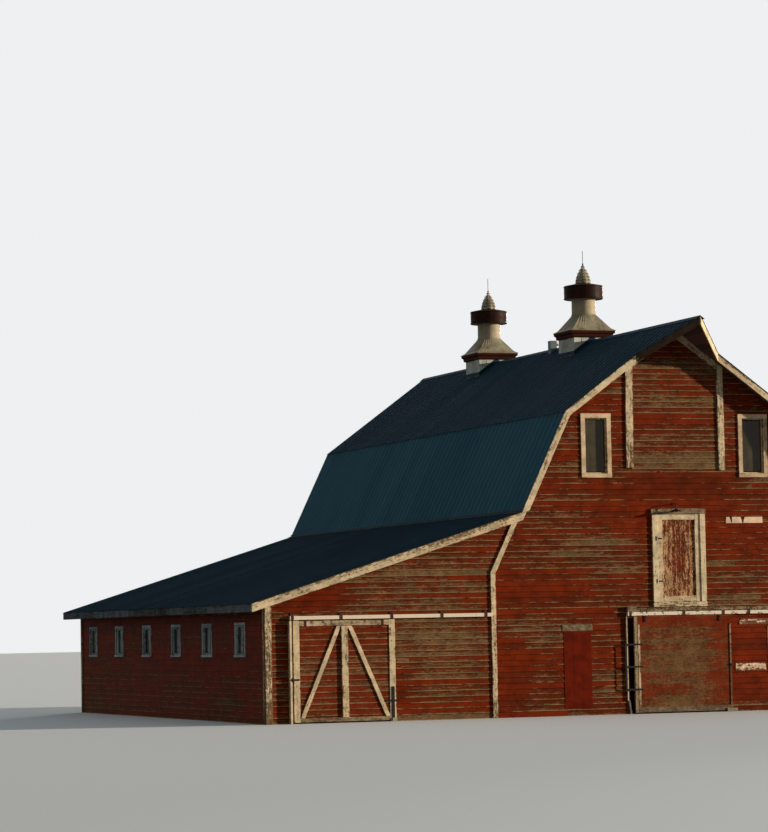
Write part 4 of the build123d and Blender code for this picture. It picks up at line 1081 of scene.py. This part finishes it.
# Tracks
# Two painted box tracks carry the doors; collars bent from strap iron clasp them to the wall.
# A weathered board is nailed to the wall over the main track, with a block at its left end.
track_paint, tree, shader, place = new_finish("track_paint")
flakes = noise(tree, place, 9, 6, 0.7)
specks = noise(tree, place, 70, 3)
oldness = between(tree, axes_of(tree, place)[0], -2.0, -1.2, 0.0, 0.08)
flaked = between(tree, sum_of(tree, flakes, times(tree, specks, 0.25), oldness), 0.76, 0.80)
rust = blended(tree, between(tree, specks, 0.4, 0.6), (112, 66, 42), (74, 46, 32))
finish(tree, shader, blended(tree, flaked, (226, 206, 178), rust), between(tree, flaked, 0, 1, 0.55, 0.9),
       sum_of(tree, specks, times(tree, flaked, -2)), 0.001, gloss=0.15)
wear_finish(["door_tracks"], track_paint)
collars = start_boards()
collar_half, collar_front = 0.0345, -8.366
collar_places = [(x, 2.54) for x in (-1.40, 0.10, 1.214, 1.939, 2.80, 3.70)]
collar_places += [(x, 2.585) for x in (-10.44, -9.1725, -7.845, -6.5175, -5.34)]
for x, z in collar_places:
    x0, x1 = x - collar_half, x + collar_half
    plate(collars, x0, x1, z, 0.107, 0.004, collar_front)
    plank(collars, (x0, -8.313, z + 0.051), (x1, -8.313, z + 0.051), (0, 0, 1), 0.106, 0.004)
    plate(collars, x0, x1, z + 0.085, 0.07, 0.022, -8.264)
    bolt(collars, x, -8.286, z + 0.09, 0.009, 0.008)
finish_piece("track_collars", collars, hanger_iron, ease=0.0015)
header_wood = weathered("header_wood", (168, 144, 110), (132, 112, 84), (104, 80, 56), (38, 28, 22), 0.16,
                        streak=(3, 18), fleck=16.0)
header = start_boards()
sawn(header, -1.24, 2.643, 4.125, 2.643, 0.1, 0.045, step=0.4, warp=0.002, worn=0.05)
finish_piece("track_header_board", header, header_wood, ["main_track_board"], ease=0.005)
header = start_boards()
plate(header, -1.475, -1.228, 2.660, 0.13, 0.10)
finish_piece("track_end_block", header, bare_board, ease=0.005)

# Door stops and guides
# Strips nailed on the wall close the shutting edge of each doorway, and bent plates keep each leaf's
# foot in. The shed's outer lath leaves room for the latch bar.
stops = start_boards()
sawn(stops, -1.491, 0.34, -1.491, 2.47, 0.026, 0.064)
sawn(stops, -1.402, 0.0, -1.45, 0.36, 0.05, 0.032, step=9.0, warp=0.0)
latch_room, stop_top = (1.02, 1.125), 2.515
for out, thick, low, high in ((0, 0.04, 0, stop_top), (0.04, 0.05, 0, stop_top),
                              (0.09, 0.045, 0, latch_room[0]), (0.09, 0.045, latch_room[1], stop_top)):
    sawn(stops, -10.503, low, -10.503, high, 0.052, thick - 0.001, front - out)
finish_piece("door_stop_strips", stops, trim_paint, ["door_stops"], ease=0.003)
guides = start_boards()
for x0, x1 in ((1.246, 1.531), (-7.89, -7.77)):
    plate(guides, x0, x1, 0.045, 0.09, 0.007, -8.387)
    plate(guides, x0, x1, 0.045, 0.09, 0.007)
    plank(guides, (x0, -8.327, 0.001), (x1, -8.327, 0.001), (0, 0, 1), 0.13, 0.007)
finish_piece("door_guides", guides, crown_zinc, ease=0.002)

# Boarded door and loose boards
# A small door beside the main one is nailed over with plain red boards under a bare head board.
# Odd cream boards patch the wall around the main door.
deep_red = weathered("deep_red", (102, 26, 7), (88, 24, 7), (120, 76, 50), (70, 44, 30), -0.14)
boards = start_boards()
boarded_left, boarded_board = -3.22, 0.2533
for i in range(3):
    x = boarded_left + 0.1267 + boarded_board * i
    sawn(boards, x, 0.18, x, 2.13, boarded_board - 0.001, 0.02)
finish_piece("boarded_door_boards", boards, deep_red, ["boarded_door"], ease=0.003)
patch_paint = weathered("patch_paint", (240, 206, 172), (222, 186, 150), (134, 92, 60), (72, 48, 34), -0.06,
                        streak=(2.2, 18), fleck=13.0)
patches = start_boards()
for left, width, bottom, tall, cuts, worn in ((1.39, 0.13, 4.83, 0.16, ((0.1, 0, 1), (-0.35, 0, 1)), -0.1),
                                              (1.56, 0.27, 4.83, 0.16, (None, (-0.35, 0, 1)), -0.1),
                                              (1.90, 0.53, 4.83, 0.16, ((0.28, 0, 1), None), -0.1),
                                              (1.56, 0.86, 1.03, 0.195, (None, (-0.15, 0, 1)), (0.45, 0.3)),
                                              (1.70, 0.90, 2.215, 0.155, ((0.4, 0, 1), (0.1, 0, 1)),
                                               (0.65, 0.45))):
    z = bottom + tall / 2
    sawn(patches, left, z, left + width, z, tall, 0.024, step=0.12, cuts=cuts, worn=worn)
sawn(patches, 2.54, 0.95, 2.54, 2.15, 0.08, 0.022, step=0.3)
finish_piece("patch_boards", patches, patch_paint, ["wall_boards"], ease=0.003)
head = start_boards()
sawn(head, -3.255, 2.2175, -2.425, 2.2175, 0.175, 0.024, step=0.3, warp=0.0015)
finish_piece("boarded_door_head", head, bare_board, ease=0.004)

# The studio
# A pale floor and backdrop, a low key lamp from the right of the gable, and soft lamps from its left
# and behind.


def seen(tree):
    """Is 1 for what the camera sees, also through glass and in reflections."""
    path = tree.nodes.new("ShaderNodeLightPath").outputs
    direct = add(tree, "Math", path["Is Camera Ray"], path["Is Transmission Ray"], operation="MAXIMUM")
    return add(tree, "Math", direct, path["Is Glossy Ray"], operation="MAXIMUM")


plane = bmesh.new()
bmesh.ops.create_grid(plane, x_segments=1, y_segments=1, size=400)
ground = bpy.data.meshes.new("studio_floor")
plane.to_mesh(ground)
plane.free()
ground_finish, tree, shader, _ = new_finish("studio_floor")
put(tree, blended(tree, seen(tree), (150, 148, 144), (226, 224, 220)), shader.inputs["Base Color"])
shader.inputs["Roughness"].default_value = 0.95
ground.materials.append(ground_finish)
studio_floor = bpy.data.objects.new("studio_floor", ground)
studio_floor.location.z = -0.002
bpy.context.scene.collection.objects.link(studio_floor)

world = bpy.data.worlds.new("studio")
bpy.context.scene.world = world
world.use_nodes = True
tree = world.node_tree
sky, backdrop = tree.nodes["Background"], tree.nodes.new("ShaderNodeBackground")
for light, colour, strength in ((sky, (0.76, 0.90, 1.0, 1), 0.21), (backdrop, (0.86, 0.87, 0.88, 1), 1.0)):
    light.inputs["Color"].default_value = colour
    light.inputs["Strength"].default_value = strength
put(tree, add(tree, "MixShader", seen(tree), sky.outputs[0], backdrop.outputs[0]),
    tree.nodes["World Output"].inputs[0])


def lamp(name, toward, strength, spread, colour):
    """A soft far lamp that shines along a direction."""
    data = bpy.data.lights.new(name, "SUN")
    data.energy, data.angle, data.color = strength, radians(spread), colour
    made = bpy.data.objects.new(name, data)
    made.rotation_mode = "QUATERNION"
    made.rotation_quaternion = Vector(toward).to_track_quat("-Z", "Y")
    bpy.context.scene.collection.objects.link(made)


lamp("key_lamp", (-2.7, 1.0, -0.36), 5.8, 1.5, (1.0, 0.92, 0.80))
lamp("fill_lamp", (0.75, 0.5, -0.45), 0.09, 40, (0.86, 0.93, 1.0))
lamp("back_lamp", (-0.7, -1.0, -0.08), 1.2, 12, (1.0, 0.97, 0.92))

# The camera
# It stands where the photograph was taken from, low and far off to the left, with a long lens.
yaw, pitch, roll = radians(19.850), radians(3.827), radians(-1.112)
forward = Vector((sin(yaw) * cos(pitch), cos(yaw) * cos(pitch), sin(pitch)))
right = Vector((cos(yaw), -sin(yaw), 0))
top = right.cross(forward)
side_axis = cos(roll) * right + sin(roll) * top
top_axis = -sin(roll) * right + cos(roll) * top
camera = bpy.data.cameras.new("camera")
camera.lens, camera.sensor_width, camera.clip_end = 139.45, 36.0, 900
camera_object = bpy.data.objects.new("camera", camera)
camera_object.matrix_world = Matrix.Translation((-35.070, -83.470, 2.211)) @ Matrix(
    (side_axis, top_axis, -forward)).transposed().to_4x4()
bpy.context.scene.collection.objects.link(camera_object)
bpy.context.scene.camera = camera_object
bpy.context.scene.view_settings.view_transform = "Standard"
